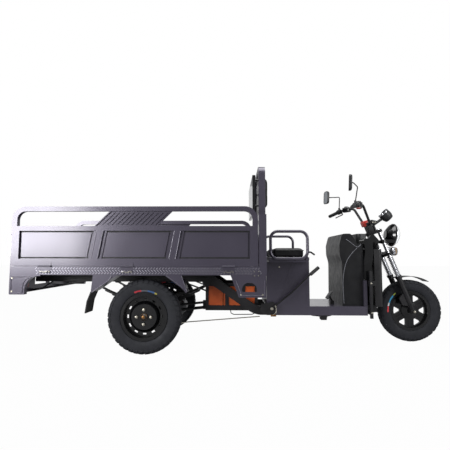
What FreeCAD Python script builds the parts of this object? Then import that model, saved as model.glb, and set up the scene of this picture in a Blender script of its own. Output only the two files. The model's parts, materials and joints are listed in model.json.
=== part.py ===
import FreeCAD, Part
import math
import os

# An electric cargo tricycle: one raked front fork, a low footboard, a bench over a box,
# and a drop-side load bed over a live rear axle.
# Everything is drawn with X forward from the rear axle, Y to the rider's left and Z up
# from the ground, in millimetres. On saving, X is shifted so that the origin lies under
# the middle of the vehicle.

V = FreeCAD.Vector

# Wheels
wheelbase = 2224.0
track = 1035.0
rear_tyre_d = 560.0
rear_tyre_w = 115.0
rear_rim_r = 178.0
rear_rim_w = 96.0
front_tyre_d = 534.0
front_tyre_w = 100.0
front_rim_r = 170.0
front_rim_w = 78.0
rim_wall = 6.0
bead_depth = 16.0
axle_stub_r = 22.0
front_axle_r = 8.0
running_gap = 0.3
lug_circle_r = 54.0
lug_count = 4
vent_count = 12
vent_circle_r = 130.0
vent_w = 26.0
vent_h = 12.0
disc_t = 6.0
disc_dish = 32.0
web_half = 10.0
spoke_count = 6

# Load bed
bed_rear_x = -1021.0
bed_front_x = 926.0
bed_overhang = 25.0
bed_half_w = track / 2 + rear_tyre_w / 2 + bed_overhang
floor_top_z = 662.0
edge_h = 66.0
sheet = 3.0
board_gap = 2.0
board_t = 40.0
board_front_x = 861.0
board_top_z = 1117.0
top_rail_h = 36.0
second_rail_z = 931.0
second_rail_h = 36.0
bottom_rail_h = 54.0
stile_w = 60.0
hoop_w = 40.0
hoop_corner_r = 100.0
panel_recess = 20.0
field_rise = 8.0
field_margin = 14.0
rib_lean = 48.0
rib_w = 100.0
tailgate_t = 30.0
tailgate_side_gap = 7.0
cross_count = 6
floor_hole_x = (-800.0, 600.0)
floor_hole_y = 400.0
floor_hole_r = 5.5
plate_hole_y = 75.0
plate_hole_z = 475.0
plate_hole_r = 3.5
tail_low_z = 448.0
tail_lamp_in = 190.0
tail_lamp_half_w = 75.7
tail_lamp_half_h = 39.7
tail_lamp_z = 525.0
tail_lamp_deep = 9.0

# Hinges of the drop sides and the tailgate
hinge_len = 96.0
hinge_out = 8.0
knuckle_r = 6.5
pin_r = 3.5
hinge_leaf_t = 3.0
hinge_leaf_h = 22.0

# Chassis
rail_y = 255.0
rail_w = 50.0
rail_h = 69.0
rail_wall = 4.0
rail_rear_x = -985.0
rail_drop_x = 470.0
rail_low_x = 860.0
rail_bend = 160.0
cross_w = 40.0
deck_rear_x = 945.0
deck_to_axle = 454.0
deck_front_x = wheelbase - deck_to_axle
deck_half_w = 285.0
deck_top_z = 332.0
deck_side_h = 73.0

# Springs and rear axle
spring_reach = 450.0
spring_eye_z = 497.0
spring_w = 49.0
leaf_t = 8.0
leaf_count = 6
eye_r = 15.0
eye_pin_r = 7.0
hanger_t = 5.0
housing_r = 34.0
spring_seat_h = 14.0
diff_r = 92.0
backplate_r = 110.0
backplate_t = 10.0
drum_depth = 76.0
motor_r = 78.0
motor_len = 190.0
motor_x = 172.0

# Batteries
tray_rear_x = 440.0
tray_front_x = 880.0
tray_half_w = 220.0
tray_bottom_z = 303.0
tray_top_z = 514.0
tray_bar = 26.0
battery_rows = 3
battery_gap = 6.0
battery_h = 186.0

# Seat
seat_rear_x = 950.0
seat_front_x = 1300.0
seat_box_top_z = 692.0
seat_half_w = 400.0
seat_tube_r = 12.0
seat_hoop_rear_x = 974.0
seat_hoop_front_x = 1270.0
seat_hoop_low_z = 720.0
seat_hoop_top_z = 940.0
cushion_h = 74.0
crease_deep = 1.2

# Headboard behind the seat
post_w = 46.0
post_half_span = 400.0
headboard_top_z = 1480.0
headboard_rear_x = 880.0
pad_below_top = 80.0
pad_h = 280.0
pad_high_z = headboard_top_z - pad_below_top
pad_low_z = pad_high_z - pad_h
pad_t = 55.0

# Steering head and fork
rake_deg = 21.5
fork_offset = 55.0
leg_y = 90.0
stanchion_r = 15.0
slider_r = 23.0
spring_coil_r = 25.0
collar = 5.0
fender_gap = 30.0
fender_t = 4.0
spring_low = 329.0
spring_high = 510.0
coil_turns = 13
lower_yoke = 520.0
upper_yoke = 735.0
yoke_t = 24.0
fork_front = 26.0
head_tube_r = 27.0
steerer_r = 18.0
bearing_gap = 1.0
down_tube_r = 25.0

# Leg shield
shield_to_axle = 464.0
shield_depth = 200.0
shield_front_x = wheelbase - shield_to_axle
shield_rear_x = shield_front_x - shield_depth
shield_half_w = 240.0
shield_top_z = 930.0
apron_to_axle = 312.0
apron_depth = 69.0
apron_front_x = wheelbase - apron_to_axle
apron_rear_x = apron_front_x - apron_depth
apron_half_w = 258.0
apron_low_z = 327.0
apron_top_z = 800.0

# Handlebar
bar_r = 11.0
grip_r = 16.0
pod_r = 24.0
bar_behind = 39.0
bar_above = 70.0
bar_clamp_y = 75.0
bar_rise = (-78.0, 130.0, 164.0)
bar_sweep = (-164.0, 215.0, 155.0)
bar_end = (-244.0, 370.0, 116.0)
mirror_from_end = (-28.0, 30.0, 195.0)
mirror_h = 128.0
mirror_w = 84.0

# Lamps and instruments: ahead of the fork legs and above the upper yoke, along the fork
lamp_ahead = 128.0
lamp_above = -72.0
lamp_r = 103.0
lamp_clamp_below = 99.0
lamp_clamp_h = 32.0
gauge_ahead = 150.0
gauge_above = 107.5
gauge_r = 50.0
gauge_len = 84.0
signal_ahead = 62.0
signal_above = 13.0
signal_y = 44.0
signal_r = 38.0

# Worked-out places
front_tyre_r = front_tyre_d / 2
rear_tyre_r = rear_tyre_d / 2
wheel_y = track / 2
axle_z = rear_tyre_r
floor_low_z = floor_top_z - edge_h
board_low_z = floor_top_z + board_gap
hinge_y = bed_half_w + hinge_out
tailgate_half_w = bed_half_w - board_t - tailgate_side_gap
latch_reach = 24.0
rake = math.radians(rake_deg)
front_end_x = wheelbase + front_tyre_r
rear_end_x = bed_rear_x - latch_reach
middle_x = (front_end_x + rear_end_x) / 2
deck_low_z = deck_top_z - deck_side_h


def box(x0, x1, y0, y1, z0, z1):
    return Part.makeBox(x1 - x0, y1 - y0, z1 - z0, V(x0, y0, z0))


def rod(start, end, radius):
    start, end = V(*start), V(*end)
    return Part.makeCylinder(radius, (end - start).Length, start, end - start)


def fused(shapes):
    return shapes[0].multiFuse(shapes[1:]).removeSplitter()


def mirrored(shape):
    return shape.mirror(V(0, 0, 0), V(0, 1, 0))


def both_sides(shape):
    return Part.makeCompound([shape, mirrored(shape)])


def corner_arc(before, corner, after, radius):
    """Where a rounded corner starts, its middle and where it ends."""
    to_before = (before - corner).normalize()
    to_after = (after - corner).normalize()
    half_turn = (math.pi - to_before.getAngle(to_after)) / 2
    reach = radius * math.tan(half_turn)
    inward = (to_before + to_after).normalize()
    middle = corner + inward * (radius / math.cos(half_turn) - radius)
    return corner + to_before * reach, middle, corner + to_after * reach


def rounded_path(points, bend):
    """Straight runs joined by tangent arcs of one radius."""
    points = [V(*point) for point in points]
    edges = []
    here = points[0]
    for before, corner, after in zip(points, points[1:], points[2:]):
        start, middle, end = corner_arc(before, corner, after, bend)
        edges.append(Part.LineSegment(here, start).toShape())
        edges.append(Part.Arc(start, middle, end).toShape())
        here = end
    edges.append(Part.LineSegment(here, points[-1]).toShape())
    return Part.Wire(edges)


def bent_tube(points, radius, bend):
    start = V(*points[0])
    ring = Part.Wire(Part.makeCircle(radius, start, V(*points[1]) - start))
    return rounded_path(points, bend).makePipeShell([ring], True, False)


def closed_wire(corners, place):
    """A closed outline from corners (a, b) or (a, b, rounding radius)."""
    flat = [V(corner[0], corner[1], 0) for corner in corners]
    turns = []
    for number, corner in enumerate(corners):
        here = flat[number]
        if len(corner) == 2:
            turns.append((here, None, here))
            continue
        after = flat[(number + 1) % len(flat)]
        turns.append(corner_arc(flat[number - 1], here, after, corner[2]))
    edges = []
    for turn, next_turn in zip(turns, turns[1:] + turns[:1]):
        start, middle, end = turn
        if middle is not None:
            edges.append(Part.Arc(place(start), place(middle), place(end)).toShape())
        if (next_turn[0] - end).Length > 0.001:
            edges.append(Part.LineSegment(place(end), place(next_turn[0])).toShape())
    return Part.Wire(edges)


def side_plate(corners, y0, y1):
    """An outline of (x, z) corners, as thick as from y0 to y1."""
    wire = closed_wire(corners, lambda p: V(p.x, y0, p.y))
    return Part.Face(wire).extrude(V(0, y1 - y0, 0))


def end_plate(corners, x0, x1):
    """An outline of (y, z) corners, as thick as from x0 to x1."""
    wire = closed_wire(corners, lambda p: V(x0, p.x, p.y))
    return Part.Face(wire).extrude(V(x1 - x0, 0, 0))


def level_plate(corners, z0, z1):
    """An outline of (x, y) corners, as thick as from z0 to z1."""
    wire = closed_wire(corners, lambda p: V(p.x, p.y, z0))
    return Part.Face(wire).extrude(V(0, 0, z1 - z0))


def turned(corners, centre):
    """A ring or disc about an axis along Y, from (radius, along Y) corners."""
    wire = closed_wire(corners, lambda p: V(p.x, p.y, 0))
    solid = Part.Face(wire).revolve(V(0, 0, 0), V(0, 1, 0), 360)
    solid.translate(V(*centre))
    return solid


def turned_about(corners, centre, direction):
    """A body of revolution about a direction, from (radius, along) corners."""
    wire = closed_wire(corners, lambda p: V(p.x, 0, p.y))
    solid = Part.Face(wire).revolve(V(0, 0, 0), V(0, 0, 1), 360)
    solid.Placement = FreeCAD.Placement(V(*centre), FreeCAD.Rotation(V(0, 0, 1), V(*direction)))
    return solid


def around_y(shape, centre, step_deg, count, first_deg=0):
    """Copies of a shape turned about an axis along Y."""
    copies = []
    for number in range(count):
        copy = shape.copy()
        copy.rotate(V(*centre), V(0, 1, 0), first_deg + number * step_deg)
        copies.append(copy)
    return copies


def pressed_plate(corners, y_outer, depth):
    """A sheet outline with its rim folded inwards, towards the vehicle's middle plane."""
    solid = side_plate(corners, y_outer, y_outer + depth)
    wire = closed_wire(corners, lambda p: V(p.x, y_outer + sheet, p.y))
    inner = wire.makeOffset2D(-sheet)
    return solid.cut(Part.Face(inner).extrude(V(0, depth, 0)))


# Wheels

def tyre(radius, width, rim_r, rim_w, centre):
    """A tyre whose section runs in short flats from the bead over the crown."""
    seat_r = rim_r - bead_depth
    half_seat = rim_w / 2 - rim_wall
    half = width / 2
    one_side = [
        (seat_r, half_seat),
        (rim_r + 3, half_seat),
        (rim_r + 12, half * 0.92),
        ((rim_r + radius) / 2, half),
        (radius - 26, half * 0.96),
        (radius - 9, half * 0.8),
        (radius - 2, half * 0.5),
        (radius, half * 0.25),
    ]
    other_side = [(r, -y) for r, y in one_side]
    return turned(other_side + one_side[::-1], centre)


def rim_barrel(rim_r, rim_w, centre):
    half = rim_w / 2
    seat_r = rim_r - bead_depth
    corners = [
        (rim_r, -half),
        (rim_r, -half + rim_wall),
        (seat_r, -half + rim_wall),
        (seat_r, half - rim_wall),
        (rim_r, half - rim_wall),
        (rim_r, half),
        (seat_r - rim_wall, half),
        (seat_r - rim_wall, -half),
    ]
    return turned(corners, centre)


def rear_rim():
    """The right rear wheel: a stamped disc, four lug nuts, a centre cap and the drum."""
    centre = (0, -wheel_y, axle_z)
    seat_r = rear_rim_r - bead_depth
    barrel = rim_barrel(rear_rim_r, rear_rim_w, centre)
    flat_r = vent_circle_r - vent_h - 4
    disc = turned([
        (seat_r - rim_wall, -disc_t), (seat_r - rim_wall, 0), (flat_r, 0), (92, -disc_dish),
        (30, -disc_dish), (30, -disc_dish - disc_t), (96, -disc_dish - disc_t), (flat_r + 4, -disc_t),
    ], centre)
    vent = box(-vent_w / 2, vent_w / 2, -wheel_y - 2 * disc_t, -wheel_y + disc_t,
               axle_z + vent_circle_r - vent_h / 2, axle_z + vent_circle_r + vent_h / 2)
    disc = disc.cut(Part.makeCompound(around_y(vent, (0, 0, axle_z), 360 / vent_count, vent_count)))
    hub = turned([(axle_stub_r + running_gap, -44), (30, -44), (30, 72),
                  (axle_stub_r + running_gap, 72)], centre)
    cap = turned([(0, -58), (18, -58), (24, -52), (24, -44), (0, -44)], centre)
    drum = turned([(30, 18), (96, 18), (100, 22), (100, 72), (94, 72), (94, 26), (30, 26)], centre)
    hexagon = [(11 * math.cos(math.radians(60 * side)), 11 * math.sin(math.radians(60 * side)))
               for side in range(6)]
    nut = side_plate([(x, axle_z + lug_circle_r + z) for x, z in hexagon],
                     -wheel_y - 52, -wheel_y - 38)
    nuts = around_y(nut, (0, 0, axle_z), 360 / lug_count, lug_count)
    return fused([barrel, disc, hub, cap, drum] + nuts)


def front_rim():
    """A cast wheel with six windows between broad grooved spokes."""
    centre = (wheelbase, 0, front_tyre_r)
    seat_r = front_rim_r - bead_depth
    barrel = rim_barrel(front_rim_r, front_rim_w, centre)
    web = turned([(60, -web_half), (seat_r - rim_wall, -web_half), (seat_r - rim_wall, web_half),
                  (60, web_half)], centre)
    window = side_plate([(84, -6, 5), (136, -36, 9), (136, 36, 9), (84, 6, 5)], -30, 30)
    window.translate(V(*centre))
    web = web.cut(Part.makeCompound(around_y(window, centre, 360 / spoke_count, spoke_count)))
    grooves = []
    for side in (-1, 1):
        for offset in (-13, 13):
            face = side * web_half
            groove = box(86, 138, face - 3, face + 3, offset - 4, offset + 4)
            groove.translate(V(*centre))
            grooves += around_y(groove, centre, 360 / spoke_count, spoke_count, 180 / spoke_count)
    web = web.cut(Part.makeCompound(grooves))
    bore = front_axle_r + running_gap
    hub = turned([(bore, -40), (30, -40), (72, -20), (72, 20), (30, 40), (bore, 40)], centre)
    return fused([barrel, web, hub])


# Load bed

def bed_floor():
    """A sheet floor with folded skirts all round, open from below, and four bolt holes."""
    outer = box(bed_rear_x, bed_front_x, -bed_half_w, bed_half_w, floor_low_z, floor_top_z)
    inner = box(bed_rear_x + sheet, bed_front_x - sheet, -bed_half_w + sheet, bed_half_w - sheet,
                floor_low_z - 1, floor_top_z - sheet)
    holes = [rod((x, side * floor_hole_y, floor_top_z - 2 * sheet), (x, side * floor_hole_y, floor_top_z + 1),
                 floor_hole_r) for x in floor_hole_x for side in (-1, 1)]
    return outer.cut(inner).cut(Part.makeCompound(holes))


def cross_members():
    first, last = bed_rear_x + 91, bed_front_x - 46
    bars = []
    for number in range(cross_count):
        x = first + (last - first) * number / (cross_count - 1)
        bars.append(box(x - cross_w / 2, x + cross_w / 2, -bed_half_w + sheet, bed_half_w - sheet,
                        floor_low_z, floor_top_z - sheet))
    return Part.makeCompound(bars)


def hinge(half, turn_up):
    """One side of a hinge along X at the origin. turn_up is 1 for the leaf that lifts."""
    third = half * 2 / 3
    near = 8.0
    far = near + hinge_leaf_h
    back = hinge_out - hinge_leaf_t
    pieces = []
    if turn_up > 0:
        pieces.append(box(-half, half, back, hinge_out, near, far))
        for x in (-half, half - third):
            pieces.append(box(x, x + third, back, hinge_out, 0, near))
            pieces.append(rod((x, 0, 0), (x + third, 0, 0), knuckle_r))
        solid = fused(pieces)
        return solid.cut(rod((-half, 0, 0), (half, 0, 0), pin_r + running_gap))
    pieces.append(box(-half, half, back, hinge_out, -far, -near))
    edge = half - third - running_gap
    pieces.append(box(-edge, edge, back, hinge_out, -near, 0))
    pieces.append(rod((-edge, 0, 0), (edge, 0, 0), knuckle_r))
    pieces.append(rod((-half, 0, 0), (half, 0, 0), pin_r))
    return fused(pieces)


side_hinge_x = (-751.0, -126.0, 640.0)
gate_hinge_y = (-380.0, 380.0)


def side_hinges(turn_up):
    """The hinge halves of the right drop side."""
    pieces = []
    for x in side_hinge_x:
        half = hinge(hinge_len / 2, turn_up)
        half.translate(V(x, -hinge_y, floor_top_z))
        pieces.append(half)
    return pieces


def gate_hinges(turn_up):
    pieces = []
    for y in gate_hinge_y:
        half = hinge(hinge_len / 2, turn_up)
        half.rotate(V(0, 0, 0), V(0, 0, 1), -90)
        half.translate(V(bed_rear_x - hinge_out, y, floor_top_z))
        pieces.append(half)
    return pieces


def rib_x(top_x, z):
    """Where a leaning rib's edge lies at a height: top_x is its place at the second rail."""
    fall = (second_rail_z - z) / (second_rail_z - board_low_z)
    return top_x - rib_lean * fall


rib_tops = (-389.0, 204.0)


def side_board():
    """The right drop side: a hoop, two rails, a stepped sheet, two leaning ribs and louvres."""
    y0, y1 = -bed_half_w, -bed_half_w + board_t
    top = board_top_z
    inner_x0, inner_x1 = bed_rear_x + hoop_w, board_front_x - hoop_w
    hoop = side_plate([
        (bed_rear_x, board_low_z), (bed_rear_x, top, hoop_corner_r),
        (board_front_x, top, hoop_corner_r), (board_front_x, board_low_z)], y0, y1)
    hoop = hoop.cut(side_plate([
        (inner_x0, board_low_z - 1), (inner_x0, top - top_rail_h, hoop_corner_r - top_rail_h),
        (inner_x1, top - top_rail_h, hoop_corner_r - top_rail_h), (inner_x1, board_low_z - 1)],
        y0 - 1, y1 + 1))
    rail = box(inner_x0, inner_x1, y0, y1, second_rail_z, second_rail_z + second_rail_h)
    sill = box(inner_x0, inner_x1, y0, y1, board_low_z, board_low_z + bottom_rail_h)
    field_low_z = board_low_z + bottom_rail_h
    sheet_y = y0 + panel_recess
    skin = box(inner_x0, inner_x1, sheet_y, sheet_y + sheet, field_low_z, second_rail_z)
    stile_x0, stile_x1 = bed_rear_x + stile_w, board_front_x - stile_w
    stiles = [box(inner_x0, stile_x0, y0, sheet_y, field_low_z, second_rail_z),
              box(stile_x1, inner_x1, y0, sheet_y, field_low_z, second_rail_z)]
    pieces = [hoop, rail, sill, skin] + stiles
    low, high = field_low_z, second_rail_z
    for top_x in rib_tops:
        pieces.append(side_plate([
            (rib_x(top_x, low), low), (rib_x(top_x, high), high),
            (rib_x(top_x + rib_w, high), high), (rib_x(top_x + rib_w, low), low)],
            sheet_y - field_rise, sheet_y))
        crown = 26.0
        pieces.append(side_plate([
            (rib_x(top_x + crown, low), low), (rib_x(top_x + crown, high), high),
            (rib_x(top_x + rib_w - crown, high), high), (rib_x(top_x + rib_w - crown, low), low)],
            y0, sheet_y))
    edges = [(None, rib_tops[0]), (rib_tops[0] + rib_w, rib_tops[1]), (rib_tops[1] + rib_w, None)]
    low, high = field_low_z + field_margin, second_rail_z - field_margin
    for start, end in edges:
        x_low0 = stile_x0 + field_margin if start is None else rib_x(start, low) + field_margin
        x_high0 = stile_x0 + field_margin if start is None else rib_x(start, high) + field_margin
        x_low1 = stile_x1 - field_margin if end is None else rib_x(end, low) - field_margin
        x_high1 = stile_x1 - field_margin if end is None else rib_x(end, high) - field_margin
        pieces.append(side_plate([(x_low0, low), (x_high0, high), (x_high1, high), (x_low1, low)],
                                 sheet_y - field_rise, sheet_y))
    pieces.append(louvre_plate())
    return fused(pieces + side_hinges(1))


louvre_x0 = -383.0
louvre_x1 = 98.0
louvre_lean = 116.0
louvre_count = 12


def louvre_plate():
    """The pressed sheet between the two upper rails, with slanting ribs."""
    low, high = second_rail_z + second_rail_h, board_top_z - top_rail_h
    y = -bed_half_w + 12
    plate = side_plate([(louvre_x0, low), (louvre_x0 + louvre_lean, high),
                        (louvre_x1 + louvre_lean, high), (louvre_x1, low)], y, y + sheet)
    rims = [side_plate([(x, low), (x + louvre_lean, high), (x + louvre_lean + 10, high), (x + 10, low)],
                       y - 10, y) for x in (louvre_x0, louvre_x1 - 10)]
    margin = 12.0
    pitch = (louvre_x1 - louvre_x0) / (louvre_count + 1)
    slope = louvre_lean / (high - low)
    ribs = []
    for number in range(1, louvre_count + 1):
        x = louvre_x0 + number * pitch
        ribs.append(side_plate([
            (x + margin * slope, low + margin), (x + louvre_lean - margin * slope, high - margin),
            (x + louvre_lean - margin * slope + 12, high - margin),
            (x + margin * slope + 12, low + margin)], y - 7, y))
    return fused([plate] + rims + ribs)


def tailgate():
    x0, x1 = bed_rear_x, bed_rear_x + tailgate_t
    half = tailgate_half_w
    high = second_rail_z + second_rail_h
    frame = box(x0, x1, -half, half, board_low_z, high)
    frame = frame.cut(box(x0 - 1, x0 + panel_recess - field_rise, -half + stile_w, half - stile_w,
                          board_low_z + bottom_rail_h, second_rail_z))
    frame = frame.cut(box(x0 + panel_recess - field_rise + sheet, x1 + 1, -half + stile_w,
                          half - stile_w, board_low_z + bottom_rail_h, second_rail_z))
    ribs = [box(x0, x0 + panel_recess - field_rise, y - rib_w / 2, y + rib_w / 2,
                board_low_z + bottom_rail_h, second_rail_z) for y in (-170, 170)]
    return fused([frame] + ribs + gate_hinges(1))


def toggle_latch():
    """The over-centre latch on the rear end of the right drop side."""
    y = -bed_half_w + board_t / 2
    base = box(bed_rear_x - 4, bed_rear_x, y - 14, y + 14, 740, 900)
    lever = side_plate([(bed_rear_x - 4, 748), (bed_rear_x - 12, 735, 4), (bed_rear_x - 18, 745, 4),
                        (bed_rear_x - 14, 830), (bed_rear_x - 4, 845)], y - 9, y + 9)
    hook = side_plate([(bed_rear_x - 4, 862), (bed_rear_x - latch_reach, 872, 5),
                       (bed_rear_x - latch_reach, 900, 8), (bed_rear_x - 12, 915, 5),
                       (bed_rear_x - 12, 890), (bed_rear_x - 4, 885)], y - 7, y + 7)
    return fused([base, lever, hook])


def rear_corner():
    """The corner plate under the bed's rear end, with its quarter-round cut."""
    low = tail_low_z
    arch = 105.0
    toe = 118.0
    corners = [(bed_rear_x, floor_low_z), (bed_rear_x, low, 8), (bed_rear_x + toe, low, 4),
               (bed_rear_x + toe, floor_low_z - 8, arch), (bed_rear_x + toe + arch + 12, floor_low_z - 8),
               (bed_rear_x + toe + arch + 12, floor_low_z)]
    return pressed_plate(corners, -bed_half_w, 40)


def front_corner():
    """The corner plate under the bed's front end, with a D-shaped hole."""
    low = 432.0
    x1 = bed_front_x - 6
    corners = [(bed_front_x - 271, floor_low_z), (bed_front_x - 210, low, 12), (x1, low, 6), (x1, floor_low_z)]
    plate = pressed_plate(corners, -bed_half_w, 40)
    hole_x0, hole_x1 = bed_front_x - 186, bed_front_x - 76
    hole = side_plate([(hole_x0, 474, 8), (hole_x0, 541, 50), (hole_x1, 541, 50), (hole_x1, 474, 8)],
                      -bed_half_w - 1, -bed_half_w + sheet + 1)
    return plate.cut(hole)


def tail_panel():
    """The sheet under the tailgate: two windows, an opening for each lamp, two plate holes."""
    low = tail_low_z
    half = bed_half_w - board_t
    panel = box(bed_rear_x, bed_rear_x + 24, -half, half, low, floor_low_z)
    panel = panel.cut(box(bed_rear_x + sheet, bed_rear_x + 25, -half + sheet, half - sheet,
                          low + sheet, floor_low_z - sheet))
    cuts = [box(bed_rear_x - 1, bed_rear_x + 30, y - 95, y + 95, 500, 560) for y in (-130, 130)]
    half_w, half_h = tail_lamp_half_w + running_gap, tail_lamp_half_h + running_gap
    for side in (-1, 1):
        y = side * (bed_half_w - tail_lamp_in)
        cuts.append(box(bed_rear_x - 1, bed_rear_x + 30, y - half_w, y + half_w,
                        tail_lamp_z - half_h, tail_lamp_z + half_h))
        cuts.append(rod((bed_rear_x - 1, side * plate_hole_y, plate_hole_z),
                        (bed_rear_x + sheet + 1, side * plate_hole_y, plate_hole_z), plate_hole_r))
    return panel.cut(Part.makeCompound(cuts))


def tail_lamp():
    """The right tail lamp, set in the panel's opening."""
    y = -bed_half_w + tail_lamp_in
    lamp = box(bed_rear_x - 5, bed_rear_x + tail_lamp_deep, y - tail_lamp_half_w, y + tail_lamp_half_w,
               tail_lamp_z - tail_lamp_half_h, tail_lamp_z + tail_lamp_half_h)
    edges = [edge for edge in lamp.Edges if abs(edge.CenterOfMass.x - (bed_rear_x - 5)) < 1]
    return lamp.makeFillet(4, edges)


def mudguard():
    """The right mudguard: a folded sheet over the tyre with a lipped side wall at each end."""
    y0, y1 = -bed_half_w + sheet, -wheel_y + rear_tyre_w / 2 + 30
    roof = floor_low_z
    top = roof - sheet
    band = side_plate([
        (-395, 471), (-391, 468), (-246, 566, 30), (-200, top), (210, top), (283, 560, 30), (322, 466),
        (326, 468), (287, 566, 30), (240, roof), (-240, roof), (-252, roof)], y0, y1)
    rear_wall = side_plate([(-384, roof), (-396, 474, 6), (-388, 466), (-246, 566, 40), (-240, roof)],
                           -bed_half_w, -bed_half_w + sheet)
    front_wall = side_plate([(166, roof), (300, 500), (322, 464), (330, 470, 4), (283, roof)],
                            -bed_half_w, -bed_half_w + sheet)
    return fused([band, rear_wall, front_wall])


def mud_flap():
    y0, y1 = -bed_half_w + 12, -wheel_y + rear_tyre_w / 2 + 20
    return side_plate([(-394, 470), (-402, 472), (-430, 400, 60), (-443, 310), (-435, 309),
                       (-422, 400, 60)], y0, y1)


# Chassis

def main_rail():
    """The right main rail: a channel that drops from bed height to under the footboard."""
    high = floor_low_z - rail_h / 2
    low = deck_top_z - sheet - rail_h / 2
    y_out, y_in = -rail_y - rail_w / 2, -rail_y + rail_w / 2
    path = rounded_path([(rail_rear_x, 0, high), (rail_drop_x, 0, high), (rail_low_x, 0, low),
                         (deck_front_x - 30, 0, low)], rail_bend)
    z0, z1 = high - rail_h / 2, high + rail_h / 2
    x = rail_rear_x
    section = Part.makePolygon([
        V(x, y_out, z0), V(x, y_in, z0), V(x, y_in, z0 + rail_wall),
        V(x, y_out + rail_wall, z0 + rail_wall), V(x, y_out + rail_wall, z1 - rail_wall),
        V(x, y_in, z1 - rail_wall), V(x, y_in, z1), V(x, y_out, z1), V(x, y_out, z0)])
    return path.makePipeShell([section], True, False)


def rail_centre_z(x):
    """The height of a main rail's middle on its sloping stretch."""
    high = floor_low_z - rail_h / 2
    low = deck_top_z - sheet - rail_h / 2
    return high + (low - high) * (x - rail_drop_x) / (rail_low_x - rail_drop_x)


def frame_crossbars():
    """Tubes across the two rails."""
    high = floor_low_z - rail_h / 2
    low = deck_top_z - sheet - rail_h / 2
    inner = rail_y + rail_w / 2 - rail_wall
    places = [(rail_rear_x + 25, high), (-spring_reach - 70, high), (0, high), (rail_drop_x - 110, high),
              (deck_rear_x + 55, low), ((deck_rear_x + deck_front_x) / 2, low), (deck_front_x - 60, low)]
    bars = []
    for x, z in places:
        bars.append(box(x - cross_w / 2, x + cross_w / 2, -inner, inner, z - 22, z + 22))
    for side in (-1, 1):
        bars += [rear_strut(side), deck_bracket(side)]
    return Part.makeCompound(bars)


def rear_strut(side):
    """A flat stay from the foot of the tail panel up to the underside of one rail."""
    y0, y1 = sorted((side * (rail_y - 3), side * (rail_y + 5)))
    foot_x, foot_z = bed_rear_x + sheet, tail_low_z + sheet
    top_z = floor_low_z - rail_h
    long_bar = side_plate([(foot_x, foot_z), (foot_x, foot_z + 14), (-spring_reach - 140, top_z),
                           (-spring_reach - 108, top_z), (foot_x + 20, foot_z)], y0, y1)
    steep_bar = side_plate([(foot_x + 66, foot_z + 14), (foot_x + 160, top_z), (foot_x + 180, top_z),
                            (foot_x + 86, foot_z + 14)], y0, y1)
    return fused([long_bar, steep_bar])


def deck_bracket(side):
    """The lug under one rail below the footboard."""
    y0, y1 = sorted((side * (rail_y - rail_w / 2 + 2), side * (rail_y + rail_w / 2)))
    z = deck_top_z - sheet - rail_h
    x = (deck_rear_x + deck_front_x) / 2 + 56
    return side_plate([(x - 112, z), (x + 72, z), (x + 52, z - 6), (x + 28, z - 12), (x + 23, z - 39, 4),
                       (x - 23, z - 39, 4), (x - 28, z - 12), (x - 92, z - 6)], y0, y1)


def deck():
    """The footboard: a sheet with folded sides, open from below."""
    outer = box(deck_rear_x, deck_front_x, -deck_half_w, deck_half_w, deck_low_z, deck_top_z)
    inner = box(deck_rear_x - 1, deck_front_x - sheet, -deck_half_w + sheet, deck_half_w - sheet,
                deck_low_z - 1, deck_top_z - sheet)
    return outer.cut(inner)


def head_x(z):
    """The steering axis's place at a height."""
    return wheelbase - fork_offset / math.cos(rake) - (z - front_tyre_r) * math.tan(rake)


def steering_head():
    """The head tube, the down tube behind the apron and the bracket that joins it to the deck."""
    low = lean_point(-fork_offset, 0, lower_yoke + yoke_t + bearing_gap)
    high = lean_point(-fork_offset, 0, upper_yoke - bearing_gap)
    head = rod(tuple(low), tuple(high), head_tube_r)
    bore = rod(tuple(low + (low - high) * 0.2), tuple(high + (high - low) * 0.2),
               steerer_r + running_gap)
    down_x = apron_rear_x + 12
    joint_z = apron_top_z + 95
    down = bent_tube([(down_x, 0, deck_low_z + 30), (down_x, 0, joint_z - 60),
                      (head_x(joint_z), 0, joint_z)], down_tube_r, 70)
    bracket = box(deck_front_x, apron_front_x - 24, -120, 120, deck_low_z + 4, apron_low_z - 2)
    upstand = box(apron_front_x - 24, apron_front_x - sheet, -110, 110, deck_low_z + 4, apron_low_z + 40)
    gusset_z = apron_top_z + 6
    gusset = side_plate([(down_x, gusset_z), (head_x(gusset_z), gusset_z), (head_x(joint_z), joint_z),
                         (down_x, joint_z - 30)], -6, 6)
    return fused([head, down, bracket, upstand, gusset]).cut(bore)


# Rear axle and suspension

def leaf_centre():
    """The height of the leaves' common centre and the main leaf's radius."""
    low = axle_z + housing_r + spring_seat_h + leaf_count * leaf_t
    rise = spring_eye_z - low
    radius = (spring_reach ** 2 + rise ** 2) / (2 * rise)
    return low + radius, radius


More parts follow.
